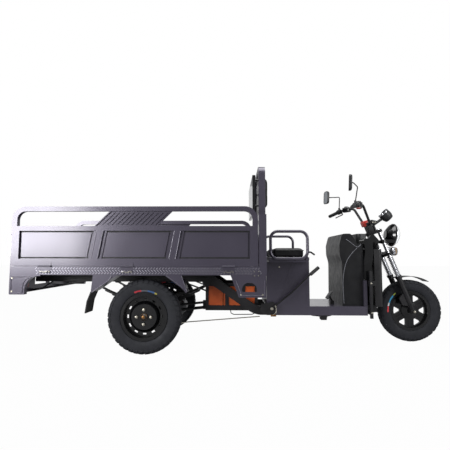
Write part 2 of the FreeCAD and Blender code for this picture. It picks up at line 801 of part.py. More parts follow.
def leaf_spring():
    """The right spring: a pack of leaves, longest on top, with an eye at each end."""
    centre_z, radius = leaf_centre()
    full = math.asin(spring_reach / radius)
    pieces = []
    for number in range(leaf_count):
        inner = radius + number * leaf_t
        share = full * (1 - number / (leaf_count + 1))
        ends = [(inner * math.sin(a), centre_z - inner * math.cos(a)) for a in (-share, 0, share)]
        outs = [((inner + leaf_t) * math.sin(a), centre_z - (inner + leaf_t) * math.cos(a))
                for a in (share, 0, -share)]
        y0 = -rail_y - spring_w / 2
        a, b, c = [V(x, y0, z) for x, z in ends]
        d, e, f = [V(x, y0, z) for x, z in outs]
        wire = Part.Wire([Part.Arc(a, b, c).toShape(), Part.LineSegment(c, d).toShape(),
                          Part.Arc(d, e, f).toShape(), Part.LineSegment(f, a).toShape()])
        pieces.append(Part.Face(wire).extrude(V(0, spring_w, 0)))
    for x in (-spring_reach, spring_reach):
        pieces.append(rod((x, -rail_y - spring_w / 2, spring_eye_z + eye_r - leaf_t),
                          (x, -rail_y + spring_w / 2, spring_eye_z + eye_r - leaf_t), eye_r))
    pack = fused(pieces)
    for x in (-spring_reach, spring_reach):
        z = spring_eye_z + eye_r - leaf_t
        pack = pack.cut(rod((x, -rail_y - spring_w, z), (x, -rail_y + spring_w, z), eye_pin_r + running_gap))
    return pack


def spring_hanger():
    """The right side's two hangers: cheek plates under the rail, with the eye bolts."""
    eye_z = spring_eye_z + eye_r - leaf_t
    top_z = floor_low_z - rail_h + 34
    out, inner = -rail_y - rail_w / 2 - hanger_t, -rail_y + rail_w / 2
    hangers = []
    for x in (-spring_reach, spring_reach):
        cheeks = [side_plate([(x - 34, top_z), (x - 34, floor_low_z - rail_h), (x - 18, eye_z - 20, 14),
                              (x + 18, eye_z - 20, 14), (x + 34, floor_low_z - rail_h), (x + 34, top_z)],
                             y, y + hanger_t) for y in (out, inner)]
        pin = rod((x, out, eye_z), (x, inner + hanger_t, eye_z), eye_pin_r)
        hangers.append(fused(cheeks + [pin]))
    return Part.makeCompound(hangers)


def rear_axle():
    """The axle housing with its differential, spring seats, brake backplates and stubs."""
    low = axle_z + housing_r
    y_plate = wheel_y - drum_depth - backplate_t
    housing = rod((0, -y_plate, axle_z), (0, y_plate, axle_z), housing_r)
    diff = turned([(0, -70), (55, -70, 12), (diff_r, -36, 26), (diff_r, 36, 26), (55, 70, 12), (0, 70)],
                  (0, 0, axle_z))
    pieces = [housing, diff] + torque_rods()
    for side in (-1, 1):
        seat_y = side * rail_y
        pieces.append(box(-42, 42, seat_y - spring_w / 2, seat_y + spring_w / 2, axle_z + 10,
                          low + spring_seat_h))
        pieces.append(rod((0, side * (y_plate - 5), axle_z), (0, side * (y_plate + backplate_t), axle_z),
                          backplate_r))
        pieces.append(rod((0, side * y_plate, axle_z), (0, side * (wheel_y + 40), axle_z), axle_stub_r))
    return fused(pieces)


def drive_motor():
    """The drive motor beside the differential, with its end bells."""
    y0 = -40.0
    z = axle_z + 6
    body = turned([(0, 0), (motor_r - 12, 0, 8), (motor_r - 4, 22), (motor_r, 22), (motor_r, motor_len - 24),
                   (motor_r - 4, motor_len - 24), (motor_r - 14, motor_len, 10), (0, motor_len)],
                  (motor_x, y0, z))
    case = box(diff_r + 0.3, motor_x - motor_r * 0.8, -34, 34, z - 45, z + 40)
    return fused([body, case])


def torque_rods():
    """Two rods from the axle housing forward to a lug on the battery tray."""
    y = -150.0
    end_x = tray_rear_x - running_gap
    lug = box(end_x - 26, end_x, y - 15, y + 15, tray_bottom_z - 14, tray_bottom_z + 60)
    upper = rod((26, y, axle_z + 26), (end_x - 8, y, tray_bottom_z + 43), 10)
    lower = rod((26, y, axle_z - 18), (end_x - 8, y, tray_bottom_z + 1), 13)
    return [upper, lower, lug]


def brake_rods():
    """The parking brake's pull rod, from the lever to the right drum's arm."""
    rod_r = 4.0
    y = -rail_y - rail_w / 2 - 26
    plate_y = -wheel_y + drum_depth + backplate_t / 2
    low = axle_z - backplate_r
    pull = bent_tube([(890, y, 252), (300, y, 204), (40, plate_y + 14, low + 12)], rod_r, 60)
    arm = side_plate([(28, low - 4, 8), (52, low - 4, 8), (20, low + 70), (-12, low + 70)],
                     plate_y + 10, plate_y + 18)
    return fused([pull, arm])


def battery_tray():
    """An open steel cage: a pan, corner posts and a rim round the top."""
    x0, x1, w = tray_rear_x, tray_front_x, tray_half_w
    pan = box(x0, x1, -w, w, tray_bottom_z - 16, tray_bottom_z + tray_bar)
    pan = pan.cut(box(x0 + sheet, x1 - sheet, -w + sheet, w - sheet, tray_bottom_z, tray_top_z))
    rim = box(x0, x1, -w, w, tray_top_z - tray_bar, tray_top_z)
    rim = rim.cut(box(x0 + sheet, x1 - sheet, -w + sheet, w - sheet, tray_bottom_z, tray_top_z + 1))
    posts = []
    for x in (x0, x1 - tray_bar):
        for side in (-1, 1):
            y0, y1 = sorted((side * w, side * (w - sheet)))
            posts.append(box(x, x + tray_bar, y0, y1, tray_bottom_z, tray_top_z))
    for x in (620, 760):
        z = rail_centre_z(x)
        for side in (-1, 1):
            y0, y1 = sorted((side * (w - sheet), side * (rail_y + rail_w / 2 - rail_wall)))
            posts.append(box(x - 15, x + 15, y0, y1, z - 14, z + 14))
            y0, y1 = sorted((side * (w - sheet), side * w))
            posts.append(box(x - 15, x + 15, y0, y1, tray_bottom_z, tray_top_z))
    for side in (-1, 1):
        posts += tray_brace(side)
    return fused([pan, rim, battery_cable()] + posts)


def tray_brace(side):
    """A slanting stay from the tray's rear post to a foot under one rail."""
    top_z = floor_low_z - rail_h
    x0, x1 = tray_rear_x - 216, tray_rear_x - 188
    y_in, y_out = rail_y - rail_w / 2 - 21, rail_y - rail_w / 2 - 1
    y0, y1 = sorted((side * y_in, side * y_out))
    bar = side_plate([(x0, top_z), (x1, top_z), (tray_rear_x, 458), (tray_rear_x + 5, 458),
                      (tray_rear_x + 5, 446), (tray_rear_x, 446)], y0, y1)
    y0, y1 = sorted((side * y_in, side * (y_out + 24)))
    foot = box(x0 - 8, x1 + 8, y0, y1, top_z - 6, top_z)
    return [bar, foot]


def battery_cable():
    """The cable that hangs in a loop under the tray's right side."""
    y = -tray_half_w + 12
    low = tray_bottom_z - 14
    return bent_tube([(650, y, low), (655, y, 262), (680, y, 252), (830, y, 254), (866, y, 268),
                      (868, y, low)], 3.5, 8)


def batteries():
    """Blocks in rows of two across the tray."""
    margin = sheet + 4
    pitch = (tray_front_x - tray_rear_x - 2 * margin + battery_gap) / battery_rows
    blocks = []
    for row in range(battery_rows):
        x = tray_rear_x + margin + row * pitch
        for side in (-1, 1):
            y0, y1 = sorted((side * battery_gap / 2, side * (tray_half_w - margin)))
            blocks.append(box(x, x + pitch - battery_gap, y0, y1, tray_bottom_z,
                              tray_bottom_z + battery_h))
    return Part.makeCompound(blocks)


# Seat

def seat_box():
    """The sheet box under the seat, creased down each side."""
    x0, x1 = seat_rear_x, seat_front_x
    outer = box(x0, x1, -deck_half_w, deck_half_w, deck_top_z, seat_box_top_z)
    grooves = []
    for side in (-1, 1):
        y0, y1 = sorted((side * (deck_half_w - crease_deep), side * (deck_half_w + 1)))
        fold = x1 - 27
        grooves.append(box(fold, fold + 3, y0, y1, deck_top_z + 2, seat_box_top_z + 1))
        grooves.append(side_plate([(x0 + 200, seat_box_top_z + 1), (x0 + 203, seat_box_top_z + 1),
                                   (x0 + 104, deck_top_z + 30), (x0 + 101, deck_top_z + 30)], y0, y1))
    outer = outer.cut(Part.makeCompound(grooves))
    return outer.cut(box(x0 + sheet, x1 - sheet, -deck_half_w + sheet, deck_half_w - sheet,
                         deck_top_z - 1, seat_box_top_z - sheet))


def seat_frame():
    """Two side hoops and the platform rails between them."""
    r = seat_tube_r
    x0, x1 = seat_hoop_rear_x, seat_hoop_front_x
    low, high = seat_hoop_low_z, seat_hoop_top_z
    hoops = []
    for side in (-1, 1):
        y = side * (seat_half_w - r)
        middle = (x0 + x1) / 2
        hoops.append(bent_tube([(middle, y, low), (x1, y, low), (x1, y, high), (x0, y, high),
                                (x0, y, low), (middle, y, low)], r, 60))
    base = box(x0 - r, x1 + r, -seat_half_w + 2 * r, seat_half_w - 2 * r, seat_box_top_z, low + r)
    hollow = box(x0 + 20, x1 - 20, -deck_half_w + 20, deck_half_w - 20, seat_box_top_z - 1, low - 4)
    ties = [box(x - r, x + r, -seat_half_w + r, seat_half_w - r, low - r, low + r) for x in (x0, x1)]
    return fused([base.cut(hollow)] + hoops + ties)


def seat_cushion():
    x0, x1 = seat_hoop_rear_x + 14, seat_hoop_front_x - 14
    half = seat_half_w - 2 * seat_tube_r - 6
    low = seat_hoop_low_z + seat_tube_r + running_gap
    pad = level_plate([(x0, -half, 30), (x1, -half, 30), (x1, half, 30), (x0, half, 30)],
                      low, low + cushion_h)
    top = [edge for edge in pad.Edges if abs(edge.CenterOfMass.z - low - cushion_h) < 1]
    return pad.makeFillet(18, top)


def seat_latch():
    """The small black handle on the front of the seat frame."""
    x, y, z = seat_hoop_front_x + seat_tube_r, -300.0, seat_hoop_low_z + 48
    stem = bent_tube([(x + 3, y, z + 6), (x + 30, y, z + 6), (x + 62, y, z - 16)], 7, 18)
    foot = box(x, x + 6, y - 8, y + 8, seat_hoop_low_z - 8, z + 14)
    return fused([stem, foot])


# Headboard

def headboard():
    """The front wall of the bed and the goal-post frame above it."""
    x0, x1 = headboard_rear_x, bed_front_x
    wall = box(board_front_x + 7, x1, -bed_half_w + 6, bed_half_w - 6, floor_top_z, board_top_z - 60)
    wall = wall.cut(box(board_front_x + 7 + sheet, x1 + 1, -bed_half_w + 46, bed_half_w - 46,
                        floor_top_z + 40, board_top_z - 100))
    frame = end_plate([(-post_half_span, floor_top_z + 1), (-post_half_span, headboard_top_z, 70),
                       (post_half_span, headboard_top_z, 70), (post_half_span, floor_top_z + 1)],
                      x0, x1 + 8)
    inner = post_half_span - post_w
    frame = frame.cut(end_plate([
        (-inner, floor_top_z), (-inner, headboard_top_z - post_w, 70 - post_w / 2),
        (inner, headboard_top_z - post_w, 70 - post_w / 2), (inner, floor_top_z)], x0 - 1, x1 + 9))
    mid = box(x0, x1 + 8, -inner, inner, pad_low_z - 50, pad_low_z)
    panel = box(x0 + 20, x0 + 20 + sheet, -inner, inner, pad_low_z, headboard_top_z - post_w)
    return fused([wall, frame, mid, panel])


def headboard_back():
    """The black board on the load side of the goal-post frame, on stand-off bolts."""
    half = post_half_span - 4
    bolts = [box(headboard_rear_x - 50, headboard_rear_x - 26, -half, half, pad_low_z - 20, pad_high_z)]
    for y in (-post_half_span + post_w / 2, post_half_span - post_w / 2):
        for z in (pad_low_z + 30, pad_high_z - 40):
            bolts.append(rod((headboard_rear_x - 30, y, z), (headboard_rear_x, y, z), 9))
    return fused(bolts)


def back_pad():
    half = post_half_span - post_w - 6
    x0 = headboard_rear_x + 20 + sheet + running_gap
    pad = box(x0, x0 + pad_t, -half, half, pad_low_z + 6, pad_high_z)
    front = [edge for edge in pad.Edges if abs(edge.CenterOfMass.x - x0 - pad_t) < 1]
    return pad.makeFillet(14, front)


# Controls

def parking_lever():
    """The cranked hand lever beside the seat box, with its quadrant."""
    y = -rail_y - rail_w / 2 - 50
    lever = bent_tube([(985, y, 318), (1147, y, 447), (1292, y, 586), (1310, y, 600)], 7, 30)
    grip = rod((1300, y, 592), (1368, y, 650), 13)
    quadrant = side_plate([(890, 300, 10), (925, 268, 10), (1010, 262, 12), (1030, 330, 10),
                           (1000, 372, 10), (900, 352, 10)], y + 8, y + 14)
    pivot = rod((985, y - 10, 318), (985, -deck_half_w, 318), 9)
    return fused([lever, grip, quadrant, pivot])


def foot_pedal():
    """The foot brake on the right of the footboard."""
    x = shield_rear_x - 60
    y = -130.0
    plate = side_plate([(x - 30, deck_top_z + 50), (x - 24, deck_top_z + 44), (x + 18, deck_top_z + 104),
                        (x + 12, deck_top_z + 110)], y - 40, y + 40)
    arm = rod((x - 6, y, deck_top_z + 76), (x + 24, y, deck_top_z + 20), 8)
    foot = box(x + 4, x + 34, y - 15, y + 15, deck_top_z, deck_top_z + 30)
    return fused([plate, arm, foot])


# Leg shield

def knee_panel():
    """The rider's side of the leg shield, a soft-cornered pod with a notched top."""
    x0, x1 = shield_rear_x, shield_front_x
    high = shield_top_z
    body = side_plate([(x0 + 20, deck_top_z), (x0 + 24, high - 248, 200), (x0 + 5, high - 180, 90),
                       (x0 + 3, high - 94, 90), (x0 + 28, high, 30), (x0 + 104, high + 2, 34),
                       (x0 + 158, high - 96, 12), (x1, high - 78, 12), (x1, deck_top_z)],
                      -shield_half_w, shield_half_w)
    return body.cut(side_plate([(x0 + 46, deck_top_z - 1), (x0 + 40, high - 120, 30),
                                (x1 - 10, high - 120, 20), (x1 - 10, deck_top_z - 1)],
                               -shield_half_w + 20, shield_half_w - 20))


def column_cover():
    """The cover round the steering column above the leg shield, slotted for the down tube."""
    x0, x1 = shield_front_x + running_gap, apron_rear_x + 1
    z0, z1 = apron_top_z + 3, shield_top_z + 10
    cover = level_plate([(x0, -95, 30), (x1, -80, 10), (x1, 80, 10), (x0, 95, 30)], z0, z1)
    tip = [edge for edge in cover.Edges if abs(edge.CenterOfMass.z - z1) < 1]
    cover = cover.makeFillet(8, tip)
    return cover.cut(box(apron_rear_x - 18, x1 + 1, -down_tube_r - 3, down_tube_r + 3, z0 - 1, z1 + 1))


def side_trim():
    """The right glossy fairing strip between the knee panel and the apron."""
    y0 = -shield_half_w - 18
    x0 = shield_front_x + running_gap
    x1 = apron_rear_x - running_gap
    outline = [(x0, 545, 14), (x0, 700), (x0 + 12, 790, 50), (x0, 893, 20), (x1 - 8, 882, 24),
               (x1 - 3, 770, 60), (x1 - 21, 650, 60), (x1 - 7, 545, 14)]
    strip = side_plate(outline, y0, y0 + 120)
    strip = strip.cut(side_plate([(x0 + 10, 500), (x0 + 10, 868), (x1 - 15, 868), (x1 - 15, 500)],
                                 y0 + 4, y0 + 130))
    beak = side_plate([(x0 + 40, 880), (x0 + 66, 915, 10), (x1 + 8, 926, 8), (x1 + 58, 868, 6),
                       (x1 + 50, 845, 5), (x1 + 20, 862, 14), (x1 - 12, 856)], y0 + 18, y0 + 54)
    return fused([strip, beak])


def apron():
    """The front apron: a sheet folded round three sides, open at the back."""
    x0, x1, w = apron_rear_x, apron_front_x, apron_half_w
    outer = level_plate([(x0, -w), (x1, -w, 26), (x1, w, 26), (x0, w)], apron_low_z, apron_top_z)
    inner = level_plate([(x0 - 1, -w + sheet), (x1 - sheet, -w + sheet, 23), (x1 - sheet, w - sheet, 23),
                         (x0 - 1, w - sheet)], apron_low_z - 1, apron_top_z - sheet)
    slot = box(x0 - 1, x0 + 40, -40, 40, apron_top_z - sheet - 1, apron_top_z + 1)
    return outer.cut(inner).cut(slot)


def shield_post():
    """The right painted post beside the knee panel."""
    y0 = -shield_half_w - 30
    return box(shield_front_x - 11, shield_front_x + 15, y0, y0 + 26, deck_top_z, 541)


def shield_bracket():
    """The right black upright that carries the apron and reaches below the footboard."""
    y0 = -deck_half_w - 22
    x0, x1 = shield_front_x + 25, shield_front_x + 47
    post = box(x0, x1, y0, y0 + 20, 237, 620)
    arm = box(x0, apron_rear_x, y0 + 20, y0 + 40, 500, 540)
    foot = box(x0, x1, y0 + 20, -120, deck_low_z + 7, deck_low_z + 41)
    return fused([post, arm, foot])


# Steering: drawn upright at the front axle, then leaned back by the rake

def leaned(shape):
    shape = shape.copy()
    shape.rotate(V(0, 0, 0), V(0, 1, 0), -rake_deg)
    shape.translate(V(wheelbase, 0, front_tyre_r))
    return shape


def lean_point(x, y, z):
    """A place of the upright drawing, once leaned."""
    return V(wheelbase + x * math.cos(rake) - z * math.sin(rake), y,
             front_tyre_r + x * math.sin(rake) + z * math.cos(rake))


def yoke(height, thick):
    reach = fork_offset
    return level_plate([(-reach - 30, -42, 14), (-10, -leg_y - 28, 20), (fork_front, -leg_y - 28, 20),
                        (fork_front, leg_y + 28, 20), (-10, leg_y + 28, 20),
                        (-reach - 30, 42, 14)], height, height + thick)


def fork_crowns():
    """The two yokes and the steerer between them."""
    holes = [rod((0, side * leg_y, 0), (0, side * leg_y, 900), stanchion_r) for side in (-1, 1)]
    pieces = [yoke(lower_yoke, yoke_t), yoke(upper_yoke, yoke_t)]
    steerer = rod((-fork_offset, 0, lower_yoke + 2), (-fork_offset, 0, upper_yoke + yoke_t + 12), steerer_r)
    x, z = -bar_behind, upper_yoke + yoke_t + bar_above
    clamp = level_plate([(x - 24, -44, 8), (x + 24, -44, 8), (x + 24, 44, 8), (x - 24, 44, 8)],
                        upper_yoke + yoke_t, z + 20)
    holes.append(rod((x, -60, z), (x, 60, z), bar_r))
    solid = fused(pieces + [steerer, clamp]).cut(Part.makeCompound(holes))
    return leaned(solid)


def fork_springs():
    """The bright stanchions with their bare coil springs."""
    pitch = (spring_high - spring_low) / coil_turns
    coils = []
    for side in (-1, 1):
        profile = [(0, spring_low), (stanchion_r, spring_low), (stanchion_r, spring_low + 1)]
        for turn in range(coil_turns):
            z = spring_low + 1 + turn * pitch
            profile.append((spring_coil_r - 6, z))
            profile.append((spring_coil_r, z + pitch * 0.5))
        profile.append((stanchion_r, spring_high - 1))
        profile.append((stanchion_r, upper_yoke + yoke_t + 6))
        profile.append((0, upper_yoke + yoke_t + 6))
        coils.append(leaned(turned_about(profile, (0, side * leg_y, 0), (0, 0, 1))))
    return Part.makeCompound(coils)


def fork_sliders():
    """The black lower legs with the axle through their feet, and the brake arm."""
    legs = []
    for side in (-1, 1):
        y = side * leg_y
        leg = turned_about([(0, 20), (slider_r - 4, 20), (slider_r, 90), (slider_r, spring_low - 24),
                            (slider_r + collar, spring_low - 20), (slider_r + collar, spring_low),
                            (0, spring_low)],
                           (0, y, 0), (0, 0, 1))
        foot = rod((0, y - 13, 0), (0, y + 13, 0), 24)
        web = box(-17, 17, y - 12, y + 12, 0, 60)
        legs += [leg, foot, web]
    axle = rod((0, -leg_y - 24, 0), (0, leg_y + 24, 0), front_axle_r)
    caliper = side_plate([(-20, 60), (-66, 84, 14), (-70, 150, 16), (-20, 176)], -leg_y - 8, -leg_y + 14)
    return leaned(fused(legs + [axle, caliper]))


def front_fender():
    """A short narrow guard over the tyre, with a stay to each leg's collar."""
    inner, outer = front_tyre_r + fender_gap, front_tyre_r + fender_gap + fender_t
    start, end = math.radians(58), math.radians(110)

    def at(radius, angle):
        return V(wheelbase + radius * math.cos(angle), -56, front_tyre_r + radius * math.sin(angle))

    middle = (start + end) / 2
    wire = Part.Wire([
        Part.Arc(at(inner, start), at(inner, middle), at(inner, end)).toShape(),
        Part.LineSegment(at(inner, end), at(outer, end)).toShape(),
        Part.Arc(at(outer, end), at(outer, middle), at(outer, start)).toShape(),
        Part.LineSegment(at(outer, start), at(inner, start)).toShape()])
    shell = Part.Face(wire).extrude(V(0, 112, 0))
    top = lean_point(0, 0, spring_low - 26)
    leg_face = leg_y - slider_r - collar - running_gap
    stays = [box(top.x - 12, top.x + 44, *sorted((side * 50, side * leg_face)),
                 top.z - 14, top.z + 10) for side in (-1, 1)]
    start, end = (wheelbase, -100, front_tyre_r), (wheelbase, 100, front_tyre_r)
    trimmed = [stay.cut(rod(start, end, inner)).common(rod(start, end, outer + 12)) for stay in stays]
    return fused([shell] + trimmed)


def bar_points(side):
    """The bar's bends on one side, from the clamp out to the end."""
    clamp = lean_point(-bar_behind, side * bar_clamp_y, upper_yoke + yoke_t + bar_above)
    points = [clamp]
    for along, across, up in (bar_rise, bar_sweep, bar_end):
        points.append(V(clamp.x + along, side * across, clamp.z + up))
    return points


def handlebar():
    left = [tuple(point) for point in bar_points(1)]
    right = [tuple(point) for point in bar_points(-1)]
    return bent_tube(right[::-1] + left, bar_r, 40)


def grips():
    """The rubber grips at the bar's ends."""
    ends = []
    for side in (-1, 1):
        root, end = bar_points(side)[2:]
        along = (end - root).normalize()
        ends.append(turned_about([(bar_r, -118), (grip_r, -118, 2), (grip_r, 4, 3), (0, 4), (0, 0.5),
                                  (bar_r, 0.5)], tuple(end), tuple(along)))
    return Part.makeCompound(ends)


def switch_pods():
    """The switch housings inboard of the grips, with the brake levers."""
    pods = []
    for side in (-1, 1):
        root, end = bar_points(side)[2:]
        along = (end - root).normalize()
        pod = turned_about([(bar_r, 0), (pod_r, 0, 5), (pod_r, 40, 5), (bar_r, 40)], tuple(end - along * 160),
                           tuple(along))
        start = end - along * 140
        out = V(26, 0, -12).normalize()
        knee = start + out * 32
        lever = bent_tube([tuple(start + out * 18), tuple(knee + V(14, side * 30, -8)),
                           (start.x + 2, start.y + side * 140, start.z - 44)], 5, 20)
        perch = rod(tuple(start + out * 14), tuple(knee), 9)
        pods.append(fused([pod, perch, lever]))
    return Part.makeCompound(pods)


def mirrors(kind):
    """The mirrors: stems and shells, or the glasses set in them."""
    out = []
    for side in (-1, 1):
        root, end = bar_points(side)[2:]
        along, across, up = mirror_from_end
        place = end + V(along, side * across, up)
        face = V(-1, -side * 0.25, 0.05).normalize()
        turn = FreeCAD.Rotation(V(-1, 0, 0), face)
        h, w = mirror_h / 2, mirror_w / 2
        outline = [(-w, -h, 22), (w, -h, 22), (w, h, 26), (-w, h, 26)]
        if kind == "glass":
            inset = [(-w + 5, -h + 5, 17), (w - 5, -h + 5, 17), (w - 5, h - 5, 21), (-w + 5, h - 5, 21)]
            pane = end_plate(inset, -1.5, 1.5)
            pane.Placement = FreeCAD.Placement(place, turn)
            out.append(pane)
            continue
        shell = end_plate(outline, -3, 22)
        back = [edge for edge in shell.Edges if abs(edge.CenterOfMass.x - 22) < 1]
        shell = shell.makeFillet(14, back)
        pocket = end_plate([(-w + 5, -h + 5, 17), (w - 5, -h + 5, 17), (w - 5, h - 5, 21), (-w + 5, h - 5, 21)],
                           -4, 1.5)
        shell = shell.cut(pocket)
        shell.Placement = FreeCAD.Placement(place, turn)
        inward = (root - end).normalize()
        low = end + inward * 140
        behind = place - face * 16
        stem = bent_tube([tuple(low + V(0, 0, 20)), (low.x + 14, low.y + side * 30, low.z + 150),
                          (behind.x + 22, behind.y - side * 16, behind.z), tuple(behind)], 4.5, 16)
        boss = rod(tuple(low), tuple(low + V(0, 0, 40)), 9)
        pod = rod(tuple(end + inward * 175), tuple(end + inward * 100), pod_r + running_gap)
        out.append(fused([shell, stem, boss]).cut(pod))
    return Part.makeCompound(out)


def headlamp_shell():
    """The round black lamp bowl, its bracket and its bright rim."""
    place = lean_point(lamp_ahead, 0, upper_yoke + lamp_above)
    r = lamp_r
    bowl = turned_about([(0, -62), (40, -62, 16), (r - 14, -26, 30), (r, -6, 6), (r, 8), (r - 6, 8), (r - 6, 2),
                         (0, 2)], tuple(place), (1, 0, -0.12))
    low = upper_yoke - lamp_clamp_below
    high = low + lamp_clamp_h
    arms = []
    for side in (-1, 1):
        y = side * leg_y
        ring = leaned(turned_about([(stanchion_r + running_gap, low), (stanchion_r + 9, low),
                                    (stanchion_r + 9, high), (stanchion_r + running_gap, high)],
                                   (0, y, 0), (0, 0, 1)))
        leg = lean_point(0, y, (low + high) / 2)
        arm = box(leg.x + stanchion_r + 8, place.x - 8, y - 5, y + 5, leg.z - 14, leg.z + 14)
        arms.append(fused([ring, arm]))
    return fused([bowl] + arms)


def headlamp_lens():
    place = lean_point(lamp_ahead, 0, upper_yoke + lamp_above)
    r = lamp_r - 6
    return turned_about([(0, 2.3), (r - 0.3, 2.3), (r - 0.3, 12, 4), (r * 0.78, 40, 60), (r * 0.3, 60, 60),
                         (0, 62)], tuple(place), (1, 0, -0.12))


def gauge_pod():
    """The instrument pod, turned up to the rider, on its stalk from the upper yoke."""
    place = lean_point(gauge_ahead, 0, upper_yoke + gauge_above)
    tilt = V(-0.72, 0, 0.69)
    pod = turned_about([(0, -gauge_len / 2), (gauge_r - 12, -gauge_len / 2, 10), (gauge_r, -10, 30),
                        (gauge_r, gauge_len / 2, 3), (gauge_r - 4, gauge_len / 2), (gauge_r - 4, gauge_len / 2 - 5),
                        (0, gauge_len / 2 - 5)], tuple(place), tuple(tilt))
    stalk = bent_tube([tuple(lean_point(8, 0, upper_yoke + yoke_t)),
                       tuple(lean_point(8, 0, upper_yoke + yoke_t + 50)), tuple(place)], 12, 18)
    return fused([pod, stalk])


def turn_signals():
    """The pair of round indicators under the headlamp, on an arm from the lower yoke."""
    mid = lower_yoke + yoke_t / 2
    x, z = signal_ahead, lower_yoke + signal_above
    arm = rod((fork_front + running_gap, 0, mid), (x - 30, 0, mid), 9)
    plate = box(x - 34, x - 24, -signal_y - 12, signal_y + 12, mid - 10, z + 14)
    pieces = [leaned(fused([arm, plate]))]
    for side in (-1, 1):
        r = signal_r
        place = lean_point(x, side * signal_y, z)
        pieces.append(turned_about([(0, -30), (14, -30), (r - 6, -14), (r, -4), (r, 18), (r - 5, 30),
                                    (0, 38)], tuple(place), (1, 0, 0)))
    return fused(pieces)


def save(name, shape):
    shape = shape.copy()
    shape.translate(V(-middle_x, 0, 0))
    if shape.Volume < 0 or not shape.isValid():
        print("bad solid in", name)
    shape.exportStep("parts/" + name + ".step")


def main():
    os.makedirs("parts", exist_ok=True)
    rear_rim_right = rear_rim()
    rear_tyre_right = tyre(rear_tyre_r, rear_tyre_w, rear_rim_r, rear_rim_w, (0, -wheel_y, axle_z))
    front_centre = (wheelbase, 0, front_tyre_r)
    board = side_board()
    nodes = {
        "main_rails": both_sides(main_rail()),
        "frame_crossbars": frame_crossbars(),
        "bed_floor": bed_floor(),
        "bed_cross_members": cross_members(),
        "bed_hinges": Part.makeCompound(side_hinges(-1) + [mirrored(h) for h in side_hinges(-1)]
                                        + gate_hinges(-1)),
        "rear_corner_plates": both_sides(rear_corner()),
        "front_corner_plates": both_sides(front_corner()),
        "tail_panel": tail_panel(),
        "tail_lamps": both_sides(tail_lamp()),
        "mudguards": both_sides(mudguard()),
        "mud_flaps": both_sides(mud_flap()),
        "headboard": headboard(),
        "headboard_back": headboard_back(),
        "back_pad": back_pad(),
        "deck": deck(),
        "steering_head": steering_head(),
        "rear_axle": rear_axle(),
        "drive_motor": drive_motor(),
        "leaf_springs": both_sides(leaf_spring()),
        "spring_hangers": both_sides(spring_hanger()),
        "brake_rods": brake_rods(),
        "battery_tray": battery_tray(),
        "batteries": batteries(),
        "seat_box": seat_box(),
        "seat_frame": seat_frame(),
        "seat_cushion": seat_cushion(),
        "seat_latch": seat_latch(),
        "parking_lever": parking_lever(),
        "foot_pedal": foot_pedal(),
        "knee_panel": knee_panel(),
        "column_cover": column_cover(),
        "side_trims": both_sides(side_trim()),
        "apron": apron(),
        "shield_posts": both_sides(shield_post()),
        "shield_brackets": both_sides(shield_bracket()),
        "side_board_right": board,
        "side_board_left": mirrored(board),
        "side_latch_right": toggle_latch(),
        "side_latch_left": mirrored(toggle_latch()),
        "tailgate": tailgate(),
        "rear_rim_right": rear_rim_right,
        "rear_rim_left": mirrored(rear_rim_right),
        "rear_tyre_right": rear_tyre_right,
        "rear_tyre_left": mirrored(rear_tyre_right),
        "front_rim": front_rim(),
        "front_tyre": tyre(front_tyre_r, front_tyre_w, front_rim_r, front_rim_w, front_centre),
        "fork_crowns": fork_crowns(),
        "fork_springs": fork_springs(),
        "fork_sliders": fork_sliders(),
        "front_fender": front_fender(),
        "handlebar": handlebar(),
        "grips": grips(),
        "switch_pods": switch_pods(),
        "mirror_shells": mirrors("shell"),
        "mirror_glasses": mirrors("glass"),
        "headlamp_shell": headlamp_shell(),
        "headlamp_lens": headlamp_lens(),
        "gauge_pod": gauge_pod(),
    }
    nodes["turn_signals"] = turn_signals()
    for name, shape in nodes.items():
        save(name, shape)


main()
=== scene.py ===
import json
import math
import bpy
from mathutils import Euler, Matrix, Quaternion, Vector


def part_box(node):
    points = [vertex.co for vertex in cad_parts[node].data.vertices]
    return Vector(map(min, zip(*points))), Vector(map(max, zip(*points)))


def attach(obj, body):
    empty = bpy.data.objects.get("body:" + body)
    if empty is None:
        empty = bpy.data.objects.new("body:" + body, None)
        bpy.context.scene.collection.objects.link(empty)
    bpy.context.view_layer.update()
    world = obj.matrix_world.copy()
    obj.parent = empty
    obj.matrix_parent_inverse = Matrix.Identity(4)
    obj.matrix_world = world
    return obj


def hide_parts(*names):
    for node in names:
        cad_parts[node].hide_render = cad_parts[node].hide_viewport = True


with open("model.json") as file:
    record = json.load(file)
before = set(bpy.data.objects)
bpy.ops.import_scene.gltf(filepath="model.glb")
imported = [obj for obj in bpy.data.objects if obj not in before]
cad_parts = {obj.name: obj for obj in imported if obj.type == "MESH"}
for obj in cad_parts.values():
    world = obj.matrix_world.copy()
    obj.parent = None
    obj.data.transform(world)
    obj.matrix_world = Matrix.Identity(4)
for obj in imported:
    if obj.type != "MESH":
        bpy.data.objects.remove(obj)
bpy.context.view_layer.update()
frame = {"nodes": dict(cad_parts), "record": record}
record = frame["record"]
nodes = frame["nodes"]

# Camera: at the photograph's angle, level with the top of the load bed
picture_px = 450
focal_px = 382.96
sensor_mm = 36.0
camera_place = Vector((-0.0365, -3.4813, 0.7329))
camera_pitch_deg = 4.78
camera_turn_deg = 1.47
camera_roll_deg = 0.09


def middle(node):
    """The centre of a node's box."""
    low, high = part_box(node)
    return (low + high) / 2


# The fork leans back by the rake, about the front axle
rake = math.radians(21.5)
ahead_of_fork = Vector((math.cos(rake), 0, math.sin(rake)))
up_fork = Vector((-math.sin(rake), 0, math.cos(rake)))
leg_y = 0.090
panel_y = 0.600


def on_fork(ahead, y, up):
    """A place measured from the front axle along the leaning fork."""
    return middle("front_tyre") + ahead_of_fork * ahead + up_fork * up + Vector((0, y, 0))


# Making shapes

